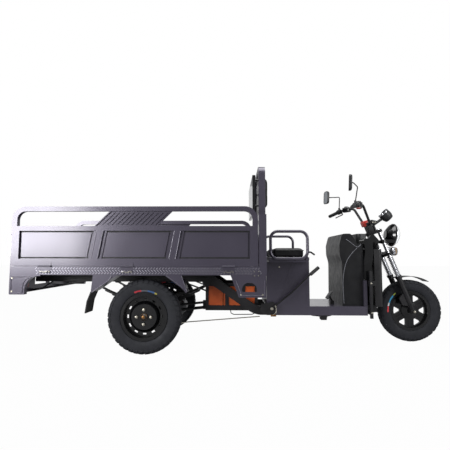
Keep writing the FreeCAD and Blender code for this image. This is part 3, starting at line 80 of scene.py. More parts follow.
def deselect():
    if bpy.context.object and bpy.context.object.mode == "EDIT":
        bpy.ops.object.mode_set(mode="OBJECT")
    bpy.ops.object.select_all(action="DESELECT")


def take(name):
    """Names the piece that an operator has just added."""
    piece = bpy.context.object
    piece.name = name
    piece.data.name = name
    return piece


def choose(piece):
    deselect()
    piece.select_set(True)
    bpy.context.view_layer.objects.active = piece


def settle(piece):
    """Puts a piece's place into its mesh, so that its object sits at the origin."""
    choose(piece)
    bpy.ops.object.transform_apply(location=True, rotation=True, scale=True)
    return piece


def block(name, low, high):
    """A box between two corners, to be shaped further."""
    deselect()
    low, high = Vector(low), Vector(high)
    bpy.ops.mesh.primitive_cube_add(size=1, location=(low + high) / 2)
    piece = take(name)
    piece.scale = high - low
    return settle(piece)


def barrel(name, centre, axis, radius, depth, sides=32):
    """A cylinder about an axis, to be shaped further."""
    deselect()
    bpy.ops.mesh.primitive_cylinder_add(vertices=sides, radius=radius, depth=depth, location=centre)
    piece = take(name)
    piece.rotation_mode = "QUATERNION"
    piece.rotation_quaternion = Vector(axis).to_track_quat("Z", "Y")
    return settle(piece)


def edit_faces(piece, wanted):
    """Opens a piece for editing with the faces that pass a test selected."""
    choose(piece)
    bpy.ops.object.mode_set(mode="EDIT")
    bpy.ops.mesh.select_mode(type="FACE")
    bpy.ops.mesh.select_all(action="DESELECT")
    bpy.ops.object.mode_set(mode="OBJECT")
    for face in piece.data.polygons:
        face.select = bool(wanted(face))
    bpy.ops.object.mode_set(mode="EDIT")


def done():
    bpy.ops.object.mode_set(mode="OBJECT")


def finish_with(piece, kind, **settings):
    """Adds a modifier and applies it."""
    choose(piece)
    modifier = piece.modifiers.new(kind.lower(), kind)
    for name, value in settings.items():
        setattr(modifier, name, value)
    bpy.ops.object.modifier_apply(modifier=modifier.name)


def round_edges(piece, width, segments=2, angle_deg=35):
    finish_with(piece, "BEVEL", width=width, segments=segments, limit_method="ANGLE",
                angle_limit=math.radians(angle_deg), harden_normals=False)


def smooth(piece, angle_deg=35):
    choose(piece)
    bpy.ops.object.shade_smooth_by_angle(angle=math.radians(angle_deg))


def outline(name, points):
    """A line of edges through points, drawn by extruding one corner from point to point."""
    deselect()
    points = [Vector(point) for point in points]
    bpy.ops.mesh.primitive_plane_add(size=0.01, location=points[0])
    piece = settle(take(name))
    bpy.ops.object.mode_set(mode="EDIT")
    bpy.ops.mesh.select_mode(type="VERT")
    bpy.ops.mesh.select_all(action="SELECT")
    bpy.ops.mesh.merge(type="CENTER")
    for here, there in zip(points, points[1:]):
        bpy.ops.mesh.extrude_vertices_move(TRANSFORM_OT_translate={"value": there - here})
    return piece


def spun(name, profile, centre, axis, steps):
    """A body of revolution about an axis through centre, from (radius, along) points."""
    axis = Vector(axis).normalized()
    side = axis.orthogonal().normalized()
    centre = Vector(centre)
    piece = outline(name, [centre + side * radius + axis * along for radius, along in profile])
    bpy.ops.mesh.select_all(action="SELECT")
    bpy.ops.mesh.spin(steps=steps, angle=2 * math.pi, center=centre, axis=axis)
    bpy.ops.mesh.select_all(action="SELECT")
    bpy.ops.mesh.remove_doubles(threshold=0.00005)
    bpy.ops.mesh.normals_make_consistent(inside=False)
    done()
    return piece


def tube(name, points, radius, sides=10, order=3):
    """A round wire along a smooth line through control points, closed at its ends."""
    deselect()
    curve = bpy.data.curves.new(name, "CURVE")
    curve.dimensions = "3D"
    spline = curve.splines.new("NURBS")
    spline.points.add(len(points) - 1)
    for point, place in zip(spline.points, points):
        point.co = (*place, 1)
    spline.order_u = order
    spline.use_endpoint_u = True
    spline.resolution_u = 8
    curve.bevel_depth = radius
    curve.bevel_resolution = max(1, sides // 4)
    curve.use_fill_caps = True
    piece = bpy.data.objects.new(name, curve)
    bpy.context.scene.collection.objects.link(piece)
    choose(piece)
    bpy.ops.object.convert(target="MESH")
    return take(name)


def joined(name, pieces):
    deselect()
    for piece in pieces:
        piece.select_set(True)
    bpy.context.view_layer.objects.active = pieces[0]
    if len(pieces) > 1:
        bpy.ops.object.join()
    return take(name)


def copy_of(piece, name):
    choose(piece)
    bpy.ops.object.duplicate()
    return take(name)


def mirrored(piece, name):
    """The same piece on the other side of the vehicle."""
    twin = copy_of(piece, name)
    twin.scale = (1, -1, 1)
    settle(twin)
    bpy.ops.object.mode_set(mode="EDIT")
    bpy.ops.mesh.select_all(action="SELECT")
    bpy.ops.mesh.normals_make_consistent(inside=False)
    done()
    return twin


def fit(piece, body, material):
    """Gives a piece its finish and the body that it moves with."""
    piece.data.materials.clear()
    piece.data.materials.append(material)
    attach(piece, body)
    return piece


# Making materials

def colour(text):
    """An sRGB hex colour as the linear colour that a shader takes."""
    channels = [int(text[start:start + 2], 16) / 255 for start in (1, 3, 5)]
    linear = [c / 12.92 if c <= 0.04045 else ((c + 0.055) / 1.055) ** 2.4 for c in channels]
    return (*linear, 1)


def add(tree, kind, inputs=None, **settings):
    """Adds a node. An input is a value, or the output of another node."""
    made = tree.nodes.new(kind)
    for name, value in settings.items():
        setattr(made, name, value)
    for socket, value in (inputs or {}).items():
        if isinstance(value, bpy.types.NodeSocket):
            tree.links.new(value, made.inputs[socket])
        else:
            made.inputs[socket].default_value = value
    return made


def new_material(name, **sockets):
    """A material with its Principled shader's own sockets set."""
    material = bpy.data.materials.new(name)
    material.use_nodes = True
    shader = material.node_tree.nodes["Principled BSDF"]
    for socket, value in sockets.items():
        shader.inputs[socket.replace("_", " ")].default_value = value
    return material, material.node_tree, shader


def blotches(tree, size_m, dark, light, detail=3.0):
    """A slow change between two colours, over patches of a real size."""
    place = add(tree, "ShaderNodeTexCoord")
    noise = add(tree, "ShaderNodeTexNoise", {"Vector": place.outputs["Object"], "Scale": 1 / size_m,
                                             "Detail": detail})
    return add(tree, "ShaderNodeMix", {0: noise.outputs["Fac"], 6: colour(dark), 7: colour(light)},
               data_type="RGBA").outputs[2]


def grain(tree, size_m, depth_m, strength=1.0, detail=2.0):
    """Fine bumps of a real size and depth, as a normal."""
    place = add(tree, "ShaderNodeTexCoord")
    noise = add(tree, "ShaderNodeTexNoise", {"Vector": place.outputs["Object"], "Scale": 1 / size_m,
                                             "Detail": detail})
    bump = add(tree, "ShaderNodeBump", {"Height": noise.outputs["Fac"], "Distance": depth_m,
                                        "Strength": strength})
    return bump.outputs["Normal"]


def uneven(tree, size_m, low, high):
    """A value that wanders between two limits, such as roughness where hands and dust touch."""
    place = add(tree, "ShaderNodeTexCoord")
    noise = add(tree, "ShaderNodeTexNoise", {"Vector": place.outputs["Object"], "Scale": 1 / size_m,
                                             "Detail": 4.0})
    spread = add(tree, "ShaderNodeMapRange", {"Value": noise.outputs["Fac"], "From Min": 0.3,
                                              "From Max": 0.7, "To Min": low, "To Max": high})
    return spread.outputs["Result"]


def powder_coat():
    """Powder-coated steel with metal flake, baked on: a satin violet grey whose skin is
    slightly rippled, so broad reflections fade along a panel."""
    material, tree, shader = new_material("powder_coat_violet_grey", Metallic=0.4, Coat_Weight=0.5,
                                          Coat_Roughness=0.16, Specular_IOR_Level=0.5)
    tree.links.new(blotches(tree, 0.4, "#3c3845", "#45414e"), shader.inputs["Base Color"])
    tree.links.new(uneven(tree, 0.25, 0.28, 0.35), shader.inputs["Roughness"])
    # The ripple of a sprayed skin is about 3 mm across
    tree.links.new(grain(tree, 0.003, 0.00012, 0.5), shader.inputs["Normal"])
    return material


def chassis_black():
    """Semi-gloss black paint on rolled steel: nearly black, with a thin film of road dust."""
    material, tree, shader = new_material("black_chassis_paint", Specular_IOR_Level=0.35)
    tree.links.new(blotches(tree, 0.12, "#0b0b0d", "#18171a"), shader.inputs["Base Color"])
    tree.links.new(uneven(tree, 0.08, 0.36, 0.6), shader.inputs["Roughness"])
    tree.links.new(grain(tree, 0.002, 0.0001, 0.6), shader.inputs["Normal"])
    return material


def gloss_plastic():
    """Polished black ABS, injection moulded: deep black with a soft-edged mirror skin."""
    material, tree, shader = new_material("gloss_black_abs", Coat_Weight=0.5, Coat_Roughness=0.05,
                                          IOR=1.53, Specular_IOR_Level=0.4)
    tree.links.new(blotches(tree, 0.2, "#050506", "#09090b"), shader.inputs["Base Color"])
    tree.links.new(uneven(tree, 0.1, 0.14, 0.24), shader.inputs["Roughness"])
    # Sink marks of the moulding, 30 mm across
    tree.links.new(grain(tree, 0.03, 0.0006, 0.35, 1.0), shader.inputs["Normal"])
    return material


def grained_plastic():
    """Black polypropylene from a spark-etched mould: a fine matt grain."""
    material, tree, shader = new_material("grained_black_polypropylene", IOR=1.49)
    tree.links.new(blotches(tree, 0.05, "#0f1012", "#17181a"), shader.inputs["Base Color"])
    tree.links.new(uneven(tree, 0.04, 0.42, 0.58), shader.inputs["Roughness"])
    # The etched grain is drawn at 1 mm, coarser than the real 0.2 mm, so that it shows
    tree.links.new(grain(tree, 0.001, 0.00008, 0.6), shader.inputs["Normal"])
    return material


def handle_rubber():
    """Moulded rubber: dead matt, a touch lighter where it is handled."""
    material, tree, shader = new_material("moulded_rubber", IOR=1.52)
    tree.links.new(blotches(tree, 0.03, "#111112", "#1b1b1c"), shader.inputs["Base Color"])
    tree.links.new(uneven(tree, 0.03, 0.6, 0.8), shader.inputs["Roughness"])
    tree.links.new(grain(tree, 0.0015, 0.00015, 0.6), shader.inputs["Normal"])
    return material


def plated(name, dark, light, low, high, size_m=0.03):
    """Plated steel: bright metal, with the haze that a plating bath leaves."""
    material, tree, shader = new_material(name, Metallic=1.0)
    tree.links.new(blotches(tree, size_m, dark, light), shader.inputs["Base Color"])
    tree.links.new(uneven(tree, size_m, low, high), shader.inputs["Roughness"])
    return material, tree, shader


def chrome_plate():
    """Chromium plate on polished steel: a cool mirror."""
    return plated("chrome_plate", "#c9cbd0", "#e4e5e8", 0.05, 0.12)[0]


def zinc_plate():
    """Yellow-passivated zinc plate: dull silver with straw-coloured clouds."""
    material, tree, shader = plated("zinc_plate", "#8f8976", "#bdbab2", 0.3, 0.5, 0.012)
    tree.links.new(grain(tree, 0.0015, 0.00006, 0.6), shader.inputs["Normal"])
    return material


def cast_aluminium():
    """Sand-cast aluminium: grey and pitted, with no mirror left."""
    material, tree, shader = plated("cast_aluminium", "#6d6e70", "#8f9092", 0.45, 0.65, 0.02)
    tree.links.new(grain(tree, 0.0012, 0.0003, 0.8), shader.inputs["Normal"])
    return material


def bronze_cap():
    """Pressed brass, dulled by grease: the centre cap of a rear wheel."""
    return plated("dull_brass", "#6e4f31", "#8f6b45", 0.3, 0.45, 0.01)[0]


def reflector_film():
    """Aluminium film, vacuum-deposited on a moulded bowl: a slightly soft mirror."""
    return plated("aluminised_reflector", "#cfd2d6", "#eceef0", 0.08, 0.16)[0]


def mirror_silver():
    """Silvered glass: a plain mirror."""
    return plated("silvered_glass", "#d3d8dd", "#dfe4e8", 0.01, 0.03, 0.1)[0]


def leatherette():
    """Vinyl-coated cloth, embossed as leather: soft black highlights broken by fine pores."""
    material, tree, shader = new_material("black_leatherette", IOR=1.5, Specular_IOR_Level=0.25,
                                          Coat_Weight=0.06, Coat_Roughness=0.25)
    tree.links.new(blotches(tree, 0.06, "#0a0a0c", "#121215"), shader.inputs["Base Color"])
    tree.links.new(uneven(tree, 0.05, 0.34, 0.5), shader.inputs["Roughness"])
    place = add(tree, "ShaderNodeTexCoord")
    # The embossed pores are 2 mm apart
    pores = add(tree, "ShaderNodeTexVoronoi", {"Vector": place.outputs["Object"], "Scale": 1 / 0.002},
                feature="DISTANCE_TO_EDGE")
    bump = add(tree, "ShaderNodeBump", {"Height": pores.outputs["Distance"], "Distance": 0.0003,
                                        "Strength": 0.5})
    tree.links.new(bump.outputs["Normal"], shader.inputs["Normal"])
    return material


def battery_shell():
    """Orange polypropylene, moulded: the colour seen through the gaps under the bed."""
    material, tree, shader = new_material("orange_polypropylene", IOR=1.49)
    tree.links.new(blotches(tree, 0.08, "#a8420e", "#c2571a"), shader.inputs["Base Color"])
    tree.links.new(uneven(tree, 0.05, 0.38, 0.52), shader.inputs["Roughness"])
    tree.links.new(grain(tree, 0.001, 0.00008, 0.5), shader.inputs["Normal"])
    return material


def lens(name, dark, light, transmission, roughness=0.04, ior=1.58):
    """Moulded polycarbonate, clear or dyed."""
    material, tree, shader = new_material(name, Transmission_Weight=transmission, IOR=ior,
                                          Roughness=roughness)
    tree.links.new(blotches(tree, 0.05, dark, light), shader.inputs["Base Color"])
    tree.links.new(grain(tree, 0.006, 0.0001, 0.3), shader.inputs["Normal"])
    return material


def tyre_rubber(name, centre, radius, bands):
    """Carbon-black rubber, cured in a mould: matt, with fine rings round the sidewall and a
    mould mark, a short arc of coloured paint. bands are (from degree, to degree, colour)."""
    material, tree, shader = new_material(name, IOR=1.5, Specular_IOR_Level=0.22)
    place = add(tree, "ShaderNodeTexCoord")
    centred = add(tree, "ShaderNodeMapping", {"Vector": place.outputs["Object"],
                                              "Location": (-centre.x, -centre.y, -centre.z)})
    parts = add(tree, "ShaderNodeSeparateXYZ", {"Vector": centred.outputs["Vector"]})
    flat = add(tree, "ShaderNodeCombineXYZ", {"X": parts.outputs["X"], "Z": parts.outputs["Z"]})
    out = add(tree, "ShaderNodeVectorMath", {0: flat.outputs["Vector"]}, operation="LENGTH")
    # Rings 4 mm apart
    rings = add(tree, "ShaderNodeMath", {0: out.outputs["Value"], 1: 2 * math.pi / 0.004},
                operation="MULTIPLY")
    wave = add(tree, "ShaderNodeMath", {0: rings.outputs["Value"]}, operation="SINE")
    ring_bump = add(tree, "ShaderNodeBump", {"Height": wave.outputs["Value"], "Distance": 0.00025,
                                             "Strength": 0.35})
    rough = add(tree, "ShaderNodeTexNoise", {"Vector": place.outputs["Object"], "Scale": 1 / 0.002,
                                             "Detail": 3.0})
    bump = add(tree, "ShaderNodeBump", {"Height": rough.outputs["Fac"], "Distance": 0.0002,
                                        "Strength": 0.5, "Normal": ring_bump.outputs["Normal"]})
    tree.links.new(bump.outputs["Normal"], shader.inputs["Normal"])
    tree.links.new(uneven(tree, 0.05, 0.58, 0.78), shader.inputs["Roughness"])
    shade = blotches(tree, 0.06, "#17181b", "#26272c")
    angle = add(tree, "ShaderNodeMath", {0: parts.outputs["Z"], 1: parts.outputs["X"]},
                operation="ARCTAN2")
    mark_half_w = 0.006
    off = add(tree, "ShaderNodeMath", {0: out.outputs["Value"], 1: radius}, operation="SUBTRACT")
    near = add(tree, "ShaderNodeMath", {0: off.outputs["Value"]}, operation="ABSOLUTE")
    on_ring = add(tree, "ShaderNodeMath", {0: near.outputs["Value"], 1: mark_half_w},
                  operation="LESS_THAN")
    for start_deg, end_deg, tint in bands:
        half = math.radians(end_deg - start_deg) / 2
        turn = add(tree, "ShaderNodeMath", {0: angle.outputs["Value"],
                                            1: math.radians(start_deg) + half}, operation="SUBTRACT")
        apart = add(tree, "ShaderNodeMath", {0: turn.outputs["Value"]}, operation="ABSOLUTE")
        inside = add(tree, "ShaderNodeMath", {0: apart.outputs["Value"], 1: half},
                     operation="LESS_THAN")
        mask = add(tree, "ShaderNodeMath", {0: inside.outputs["Value"], 1: on_ring.outputs["Value"]},
                   operation="MULTIPLY")
        shade = add(tree, "ShaderNodeMix", {0: mask.outputs["Value"], 6: shade, 7: colour(tint)},
                    data_type="RGBA").outputs[2]
    tree.links.new(shade, shader.inputs["Base Color"])
    return material


def wheel_enamel():
    """Black stoving enamel on a pressed steel wheel: deep black with crisp, curved highlights."""
    material, tree, shader = new_material("black_stoving_enamel", Coat_Weight=0.4, Coat_Roughness=0.08,
                                          Specular_IOR_Level=0.3)
    tree.links.new(blotches(tree, 0.1, "#060607", "#0b0b0d"), shader.inputs["Base Color"])
    tree.links.new(uneven(tree, 0.06, 0.2, 0.32), shader.inputs["Roughness"])
    tree.links.new(grain(tree, 0.004, 0.0001, 0.4), shader.inputs["Normal"])
    return material


def painted_highlight_steel():
    """Bright bare steel with an uneven gloss: a painted highlight, standing in for the light that the tops
    of the chequer lugs catch.
    """
    # Painted highlight: a bright steel colour for the light caught by the lug tops
    return plated("painted_highlight_bare_steel", "#6c6a73", "#a8a6af", 0.32, 0.5, 0.01)[0]


def plain_colour(name, dark, light, low, high, size_m=0.02):
    """A moulded or printed colour with only a slight change of shade and gloss."""
    material, tree, shader = new_material(name, IOR=1.49)
    tree.links.new(blotches(tree, size_m, dark, light), shader.inputs["Base Color"])
    tree.links.new(uneven(tree, size_m, low, high), shader.inputs["Roughness"])
    return material


finishes = {
    "body_paint": powder_coat(),
    "black_paint": chassis_black(),
    "gloss_black": gloss_plastic(),
    "black_plastic": grained_plastic(),
    "tyre": handle_rubber(),
    "rubber": handle_rubber(),
    "chrome": chrome_plate(),
    "zinc": zinc_plate(),
    "leatherette": leatherette(),
    "battery_case": battery_shell(),
    "cast_alloy": cast_aluminium(),
    "clear_lens": lens("clear_polycarbonate", "#f2f4f6", "#ffffff", 1.0),
    "red_lens": lens("red_polycarbonate", "#7d0b0e", "#a01216", 0.35),
    "mirror_glass": mirror_silver(),
    "painted_highlight_steel": painted_highlight_steel(),
    "brass": bronze_cap(),
    "reflector": reflector_film(),
    "amber_lens": lens("amber_polycarbonate", "#8f6f42", "#ad8a58", 0.25, 0.12),
    "red_plastic": plain_colour("red_polyethylene_cover", "#8a1a12", "#a3271b", 0.35, 0.5),
    "grey_piping": plain_colour("grey_woven_piping", "#5b5c62", "#74757b", 0.6, 0.8, 0.004),
    "dial": plain_colour("printed_black_dial", "#0b0b0d", "#101013", 0.4, 0.5),
    "wheel_enamel": wheel_enamel(),
    "warm_glass": plain_colour("frosted_warm_glass", "#e2b765", "#f1d493", 0.2, 0.3),
    "white_ink": plain_colour("white_printing_ink", "#d9dadc", "#e8e9ea", 0.5, 0.6),
}


def dress_nodes():
    """Gives each node of the frame the finish of its own slot in the record."""
    slot_of = {part["node"]: part["material_slot"] for part in record["subparts"]}
    own_finish = {"bed_hinges": "body_paint", "front_rim": "wheel_enamel", "rear_rim_left": "wheel_enamel",
                  "rear_rim_right": "wheel_enamel"}
    for name, piece in nodes.items():
        material = finishes[own_finish.get(name, slot_of[name])]
        piece.data.materials.clear()
        piece.data.materials.append(material)


# Wheels

def road_tyre(name, node, body, rim_r, rows, bands, mark_share):
    """A tyre with raised tread blocks, in the place and size of its node."""
    low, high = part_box(node)
    centre = (low + high) / 2
    radius = (high.z - low.z) / 2
    half = (high.y - low.y) / 2
    groove = 0.004
    wall = radius - rim_r
    side = [(rim_r - 0.014, 0.72), (rim_r + 0.003, 0.74), (rim_r + 0.006, 0.84), (rim_r + 0.012, 0.9),
            (rim_r + wall * 0.3, 0.975), (rim_r + wall * 0.5, 1.0), (rim_r + wall * 0.7, 0.985),
            (radius - 0.02, 0.93), (radius - 0.006 - groove, 0.8), (radius - 0.001 - groove, 0.52),
            (radius - groove, 0.16)]
    profile = [(r, -share * half) for r, share in side] + [(r, share * half) for r, share in side[::-1]]
    steps = 160
    piece = spun(name, profile, centre, (0, 1, 0), steps)

    def slice_of(face):
        spot = face.center - centre
        return int(math.atan2(spot.z, spot.x) / (2 * math.pi) * steps + 2 * steps)

    def across(face):
        return abs(face.center.y - centre.y) / half

    def far_out(face):
        spot = face.center - centre
        return math.hypot(spot.x, spot.z) > radius - 0.03

    for inner, outer, run, shift in rows:
        edit_faces(piece, lambda face: far_out(face) and inner < across(face) < outer
                   and (slice_of(face) + (shift if face.center.y > centre.y else 0)) % run != 0)
        bpy.ops.mesh.inset(thickness=0.0012, depth=groove)
        done()
    smooth(piece, 32)
    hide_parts(node)
    material = tyre_rubber(name + "_rubber", centre, rim_r + wall * mark_share, bands)
    return fit(piece, body, material)


def all_tyres():
    # Rows of blocks: from and to as shares of half the width, slices in a repeat, and the stagger
    rear_rows = ((0.85, 0.96, 4, 2), (0.6, 0.85, 4, 2), (0.2, 0.6, 5, 3), (-0.1, 0.2, 8, 0))
    front_rows = ((0.85, 0.96, 4, 2), (0.6, 0.85, 5, 2), (0.2, 0.6, 6, 3), (-0.1, 0.2, 10, 0))
    rear_marks = ((96, 112, "#a03038"), (82, 96, "#4c4e55"), (66, 82, "#35517a"), (60, 66, "#8c8340"))
    front_marks = ((169, 180, "#d8444a"), (-180, -177, "#d8444a"), (160, 168, "#c9ccd0"),
                   (139, 159, "#3a8fb8"), (130, 138, "#9aa84a"))
    road_tyre("tread_rear_right", "rear_tyre_right", "rear_wheel_right", 0.178, rear_rows, rear_marks, 0.19)
    road_tyre("tread_rear_left", "rear_tyre_left", "rear_wheel_left", 0.178, rear_rows, rear_marks, 0.19)
    road_tyre("tread_front", "front_tyre", "front_wheel", 0.170, front_rows, front_marks, 0.30)


# Fork

def fork_leg(side):
    """A bright stanchion inside a bare coil spring of round wire, with a seat at each end."""
    wire_r, coil_r, turns, low, high = 0.003, 0.0215, 13, 0.333, 0.506
    deselect()
    bpy.ops.mesh.primitive_circle_add(vertices=8, radius=wire_r, location=(coil_r, 0, 0),
                                      rotation=(math.radians(90), 0, 0))
    coil = settle(take("coil"))
    finish_with(coil, "SCREW", screw_offset=(high - low) / turns, iterations=turns, steps=24,
                render_steps=24, use_normal_calculate=True)
    choose(coil)
    bpy.ops.object.mode_set(mode="EDIT")
    bpy.ops.mesh.select_all(action="SELECT")
    bpy.ops.mesh.fill_holes(sides=0)
    bpy.ops.mesh.select_all(action="SELECT")
    bpy.ops.mesh.normals_make_consistent(inside=False)
    done()
    coil.rotation_mode = "QUATERNION"
    coil.rotation_quaternion = up_fork.to_track_quat("Z", "Y")
    coil.location = on_fork(0, side * leg_y, low)
    settle(coil)
    rod = barrel("stanchion", on_fork(0, side * leg_y, 0.547), up_fork, 0.015, 0.436, 40)
    washer = [(0.0155, -0.002), (0.0245, -0.002), (0.0245, 0.002), (0.0155, 0.002), (0.0155, -0.002)]
    seats = [spun("seat", washer, on_fork(0, side * leg_y, place), up_fork, 32) for place in (0.331, 0.508)]
    return joined("fork_leg", [coil, rod] + seats)


def fork_legs():
    legs = joined("coil_springs_and_stanchions", [fork_leg(-1), fork_leg(1)])
    smooth(legs, 40)
    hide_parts("fork_springs")
    fit(legs, "steering", finishes["chrome"])


# Cushions

def puffed(name, low, high, corner, shrink, pressure, most):
    """A padded block: a soft-cornered form, blown up a little as cloth and then kept from
    swelling further than a limit."""
    low, high = Vector(low), Vector(high)
    inset = Vector((shrink, shrink, shrink))
    pad = block(name, low + inset, high - inset)
    round_edges(pad, corner, 4)
    finish_with(pad, "REMESH", mode="VOXEL", voxel_size=0.006)
    start = [corner_point.co.copy() for corner_point in pad.data.vertices]
    choose(pad)
    cloth = pad.modifiers.new("cloth", "CLOTH")
    cloth.settings.use_pressure = True
    cloth.settings.uniform_pressure_force = pressure
    cloth.settings.effector_weights.gravity = 0
    for number in range(1, 21):
        bpy.context.scene.frame_set(number)
    bpy.ops.object.modifier_apply(modifier=cloth.name)
    bpy.context.scene.frame_set(1)
    for point, was in zip(pad.data.vertices, start):
        step = point.co - was
        if step.length > most:
            point.co = was + step.normalized() * most
    finish_with(pad, "SUBSURF", levels=1, render_levels=1)
    smooth(pad, 60)
    return pad


def seat():
    """The bench cushion: leatherette over foam, crowned, with a piped edge and three channels."""
    low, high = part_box("seat_cushion")
    pad = puffed("seat_pad", low - Vector((0, 0, 0.007)), high, 0.018, 0.008, 4.0, 0.009)
    top = (low.z + high.z) / 2 + 0.012
    centre = (low + high) / 2
    for point in pad.data.vertices:
        if point.co.z > top:
            for place in (-0.18, 0, 0.18):
                off = abs(point.co.y - place)
                if off < 0.02:
                    point.co.z -= 0.007 * (1 - off / 0.02) ** 2
    for point in pad.data.vertices:
        point.co.z = max(point.co.z, low.z + 0.0003)
    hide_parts("seat_cushion")
    fit(pad, "chassis", finishes["leatherette"])
    reach_x, reach_y = (high.x - low.x) / 2 - 0.009, (high.y - low.y) / 2 - 0.009
    bend = 0.028
    ring = []
    for turn in range(0, 360, 6):
        angle = math.radians(turn)
        side_x = math.copysign(reach_x - bend, math.cos(angle)) + bend * math.cos(angle)
        side_y = math.copysign(reach_y - bend, math.sin(angle)) + bend * math.sin(angle)
        ring.append(Vector((centre.x + side_x, centre.y + side_y, high.z - 0.019)))
    ring.append(ring[0])
    piping = tube("seat_piping", ring, 0.003, 8, 2)
    smooth(piping, 50)
    fit(piping, "chassis", finishes["leatherette"])


def back_cushion():
    """The back pad: two rows of tufts pulled in by covered buttons."""
    low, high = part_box("back_pad")
    pad = puffed("back_cushion", low - Vector((0.007, 0, 0)), high, 0.02, 0.008, 4.0, 0.009)
    face = (low.x + high.x) / 2
    buttons = []
    for z in (low.z + (high.z - low.z) * 0.3, low.z + (high.z - low.z) * 0.7):
        for y in (-0.24, -0.12, 0, 0.12, 0.24):
            for point in pad.data.vertices:
                if point.co.x > face:
                    off = math.hypot(point.co.y - y, point.co.z - z)
                    if off < 0.035:
                        point.co.x -= 0.011 * (1 - off / 0.035) ** 2
            buttons.append(barrel("button", (high.x - 0.0125, y, z), (1, 0, 0), 0.009, 0.006, 20))
    for point in pad.data.vertices:
        point.co.x = max(point.co.x, low.x + 0.0003)
    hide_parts("back_pad")
    fit(pad, "chassis", finishes["leatherette"])
    button_set = joined("back_buttons", buttons)
    round_edges(button_set, 0.002)
    smooth(button_set)
    fit(button_set, "chassis", finishes["leatherette"])


# Load bed

def chequer_lugs():
    """Raised lugs in three rows that lean by turns, along the edge of the bed floor, in bright steel: a
    painted highlight for the light their tops catch.
    """
    low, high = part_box("bed_floor")
    pitch, length, thick, deep = 0.0225, 0.0190, 0.0046, 0.0014
    count = int((high.x - low.x - 0.2) / (2 * pitch))
    rows = []
    for row, z in enumerate((high.z - 0.016, high.z - 0.034, high.z - 0.052)):
        for start in (0, pitch):
            deselect()
            place = (low.x + 0.2 + start + 0.3 * pitch * row, low.y - deep / 2, z)
            bpy.ops.mesh.primitive_cube_add(size=1, location=place)
            lug = take("lug")
            lug.scale = (length, deep, thick)
            lug.rotation_euler = (0, math.radians(42 if row % 2 else -42), 0)
            settle(lug)
            round_edges(lug, 0.0006, 1)
            finish_with(lug, "ARRAY", count=count, use_relative_offset=False, use_constant_offset=True,
                        constant_offset_displace=(2 * pitch, 0, 0))
            rows.append(lug)
    right = joined("bed_edge_lugs_right", rows)
    smooth(right)
    # The bright steel finish of the lugs is painted highlight
    fit(right, "chassis", finishes["painted_highlight_steel"])
    fit(mirrored(right, "bed_edge_lugs_left"), "chassis", finishes["painted_highlight_steel"])


# Places of the drop sides' hinges along the vehicle
hinge_x = (-1.474, -0.849, -0.083)


def side_hardware():
    """A painted plate with a zinc staple at each side hinge, and the catch on the front corner plate."""
    plates, bits = [], []
    # Along the panel from the hinge, out from the panel, and height
    staple_line = [(-0.022, 0.002, 0.629), (-0.022, 0.008, 0.629), (-0.015, 0.009, 0.617),
                   (0.015, 0.009, 0.617), (0.022, 0.008, 0.629), (0.022, 0.002, 0.629)]
    for x in hinge_x:
        plate = block("hinge_plate", (x - 0.044, -panel_y - 0.0025, 0.611),
                      (x + 0.044, -panel_y - 0.0002, 0.629))
        round_edges(plate, 0.0008)
        plates.append(plate)
        for step in (-0.033, 0.033):
            bits.append(barrel("bolt", (x + step, -panel_y - 0.0042, 0.620), (0, 1, 0), 0.0042, 0.004, 6))
        staple = [(x + along, -panel_y - out, z) for along, out, z in staple_line]
        bits.append(tube("staple", staple, 0.0018, 8))
    catch = block("catch", (0.104, -panel_y - 0.003, 0.588), (0.146, -panel_y - 0.0002, 0.632))
    round_edges(catch, 0.001)
    plates.append(catch)
    for x, z in ((0.110, 0.594), (0.140, 0.594), (0.110, 0.626), (0.140, 0.626)):
        bits.append(barrel("bolt", (x, -panel_y - 0.0045, z), (0, 1, 0), 0.0036, 0.004, 6))
    for name, pieces, finish in (("hinge_plates", plates, "body_paint"), ("hinge_fittings", bits, "zinc")):
        right = joined(name + "_right", pieces)
        smooth(right)
        fit(right, "chassis", finishes[finish])
        fit(mirrored(right, name + "_left"), "chassis", finishes[finish])


def painted_shadow_gaps():
    """Black strips in the grooves above and below the pressed fields of the drop sides: painted shadow,
    standing in for the shade in the gaps between each field and its frame.
    """
    low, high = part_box("side_board_right")
    groove_y = -panel_y + 0.020
    # Each strip is a dark sheet laid where there is only shade: painted shadow
    strips = [block("shadow_strip", (low.x + 0.062, groove_y - 0.0012, z),
                    (high.x - 0.062, groove_y + 0.0004, z + 0.010)) for z in (0.7205, 0.9195)]
    right = joined("panel_seals_right", strips)
    round_edges(right, 0.0004)
    fit(right, "drop_side_right", finishes["rubber"])
    fit(mirrored(right, "panel_seals_left"), "drop_side_left", finishes["rubber"])


def rib_edges():
    """The rounded edges of the two leaning ribs of each drop side, which catch the light."""
    high_z, low_z, lean = 0.930, 0.719, 0.038
    bead_y = -panel_y + 0.0035
    beads = [tube("bead", [(top_x - lean, bead_y, low_z), (top_x, bead_y, high_z)], 0.0052, 12, 2)
             for top_x in (-1.086, -1.038, -0.493, -0.445)]
    right = joined("rib_edges_right", beads)
    smooth(right, 60)
    fit(right, "drop_side_right", finishes["body_paint"])
    fit(mirrored(right, "rib_edges_left"), "drop_side_left", finishes["body_paint"])


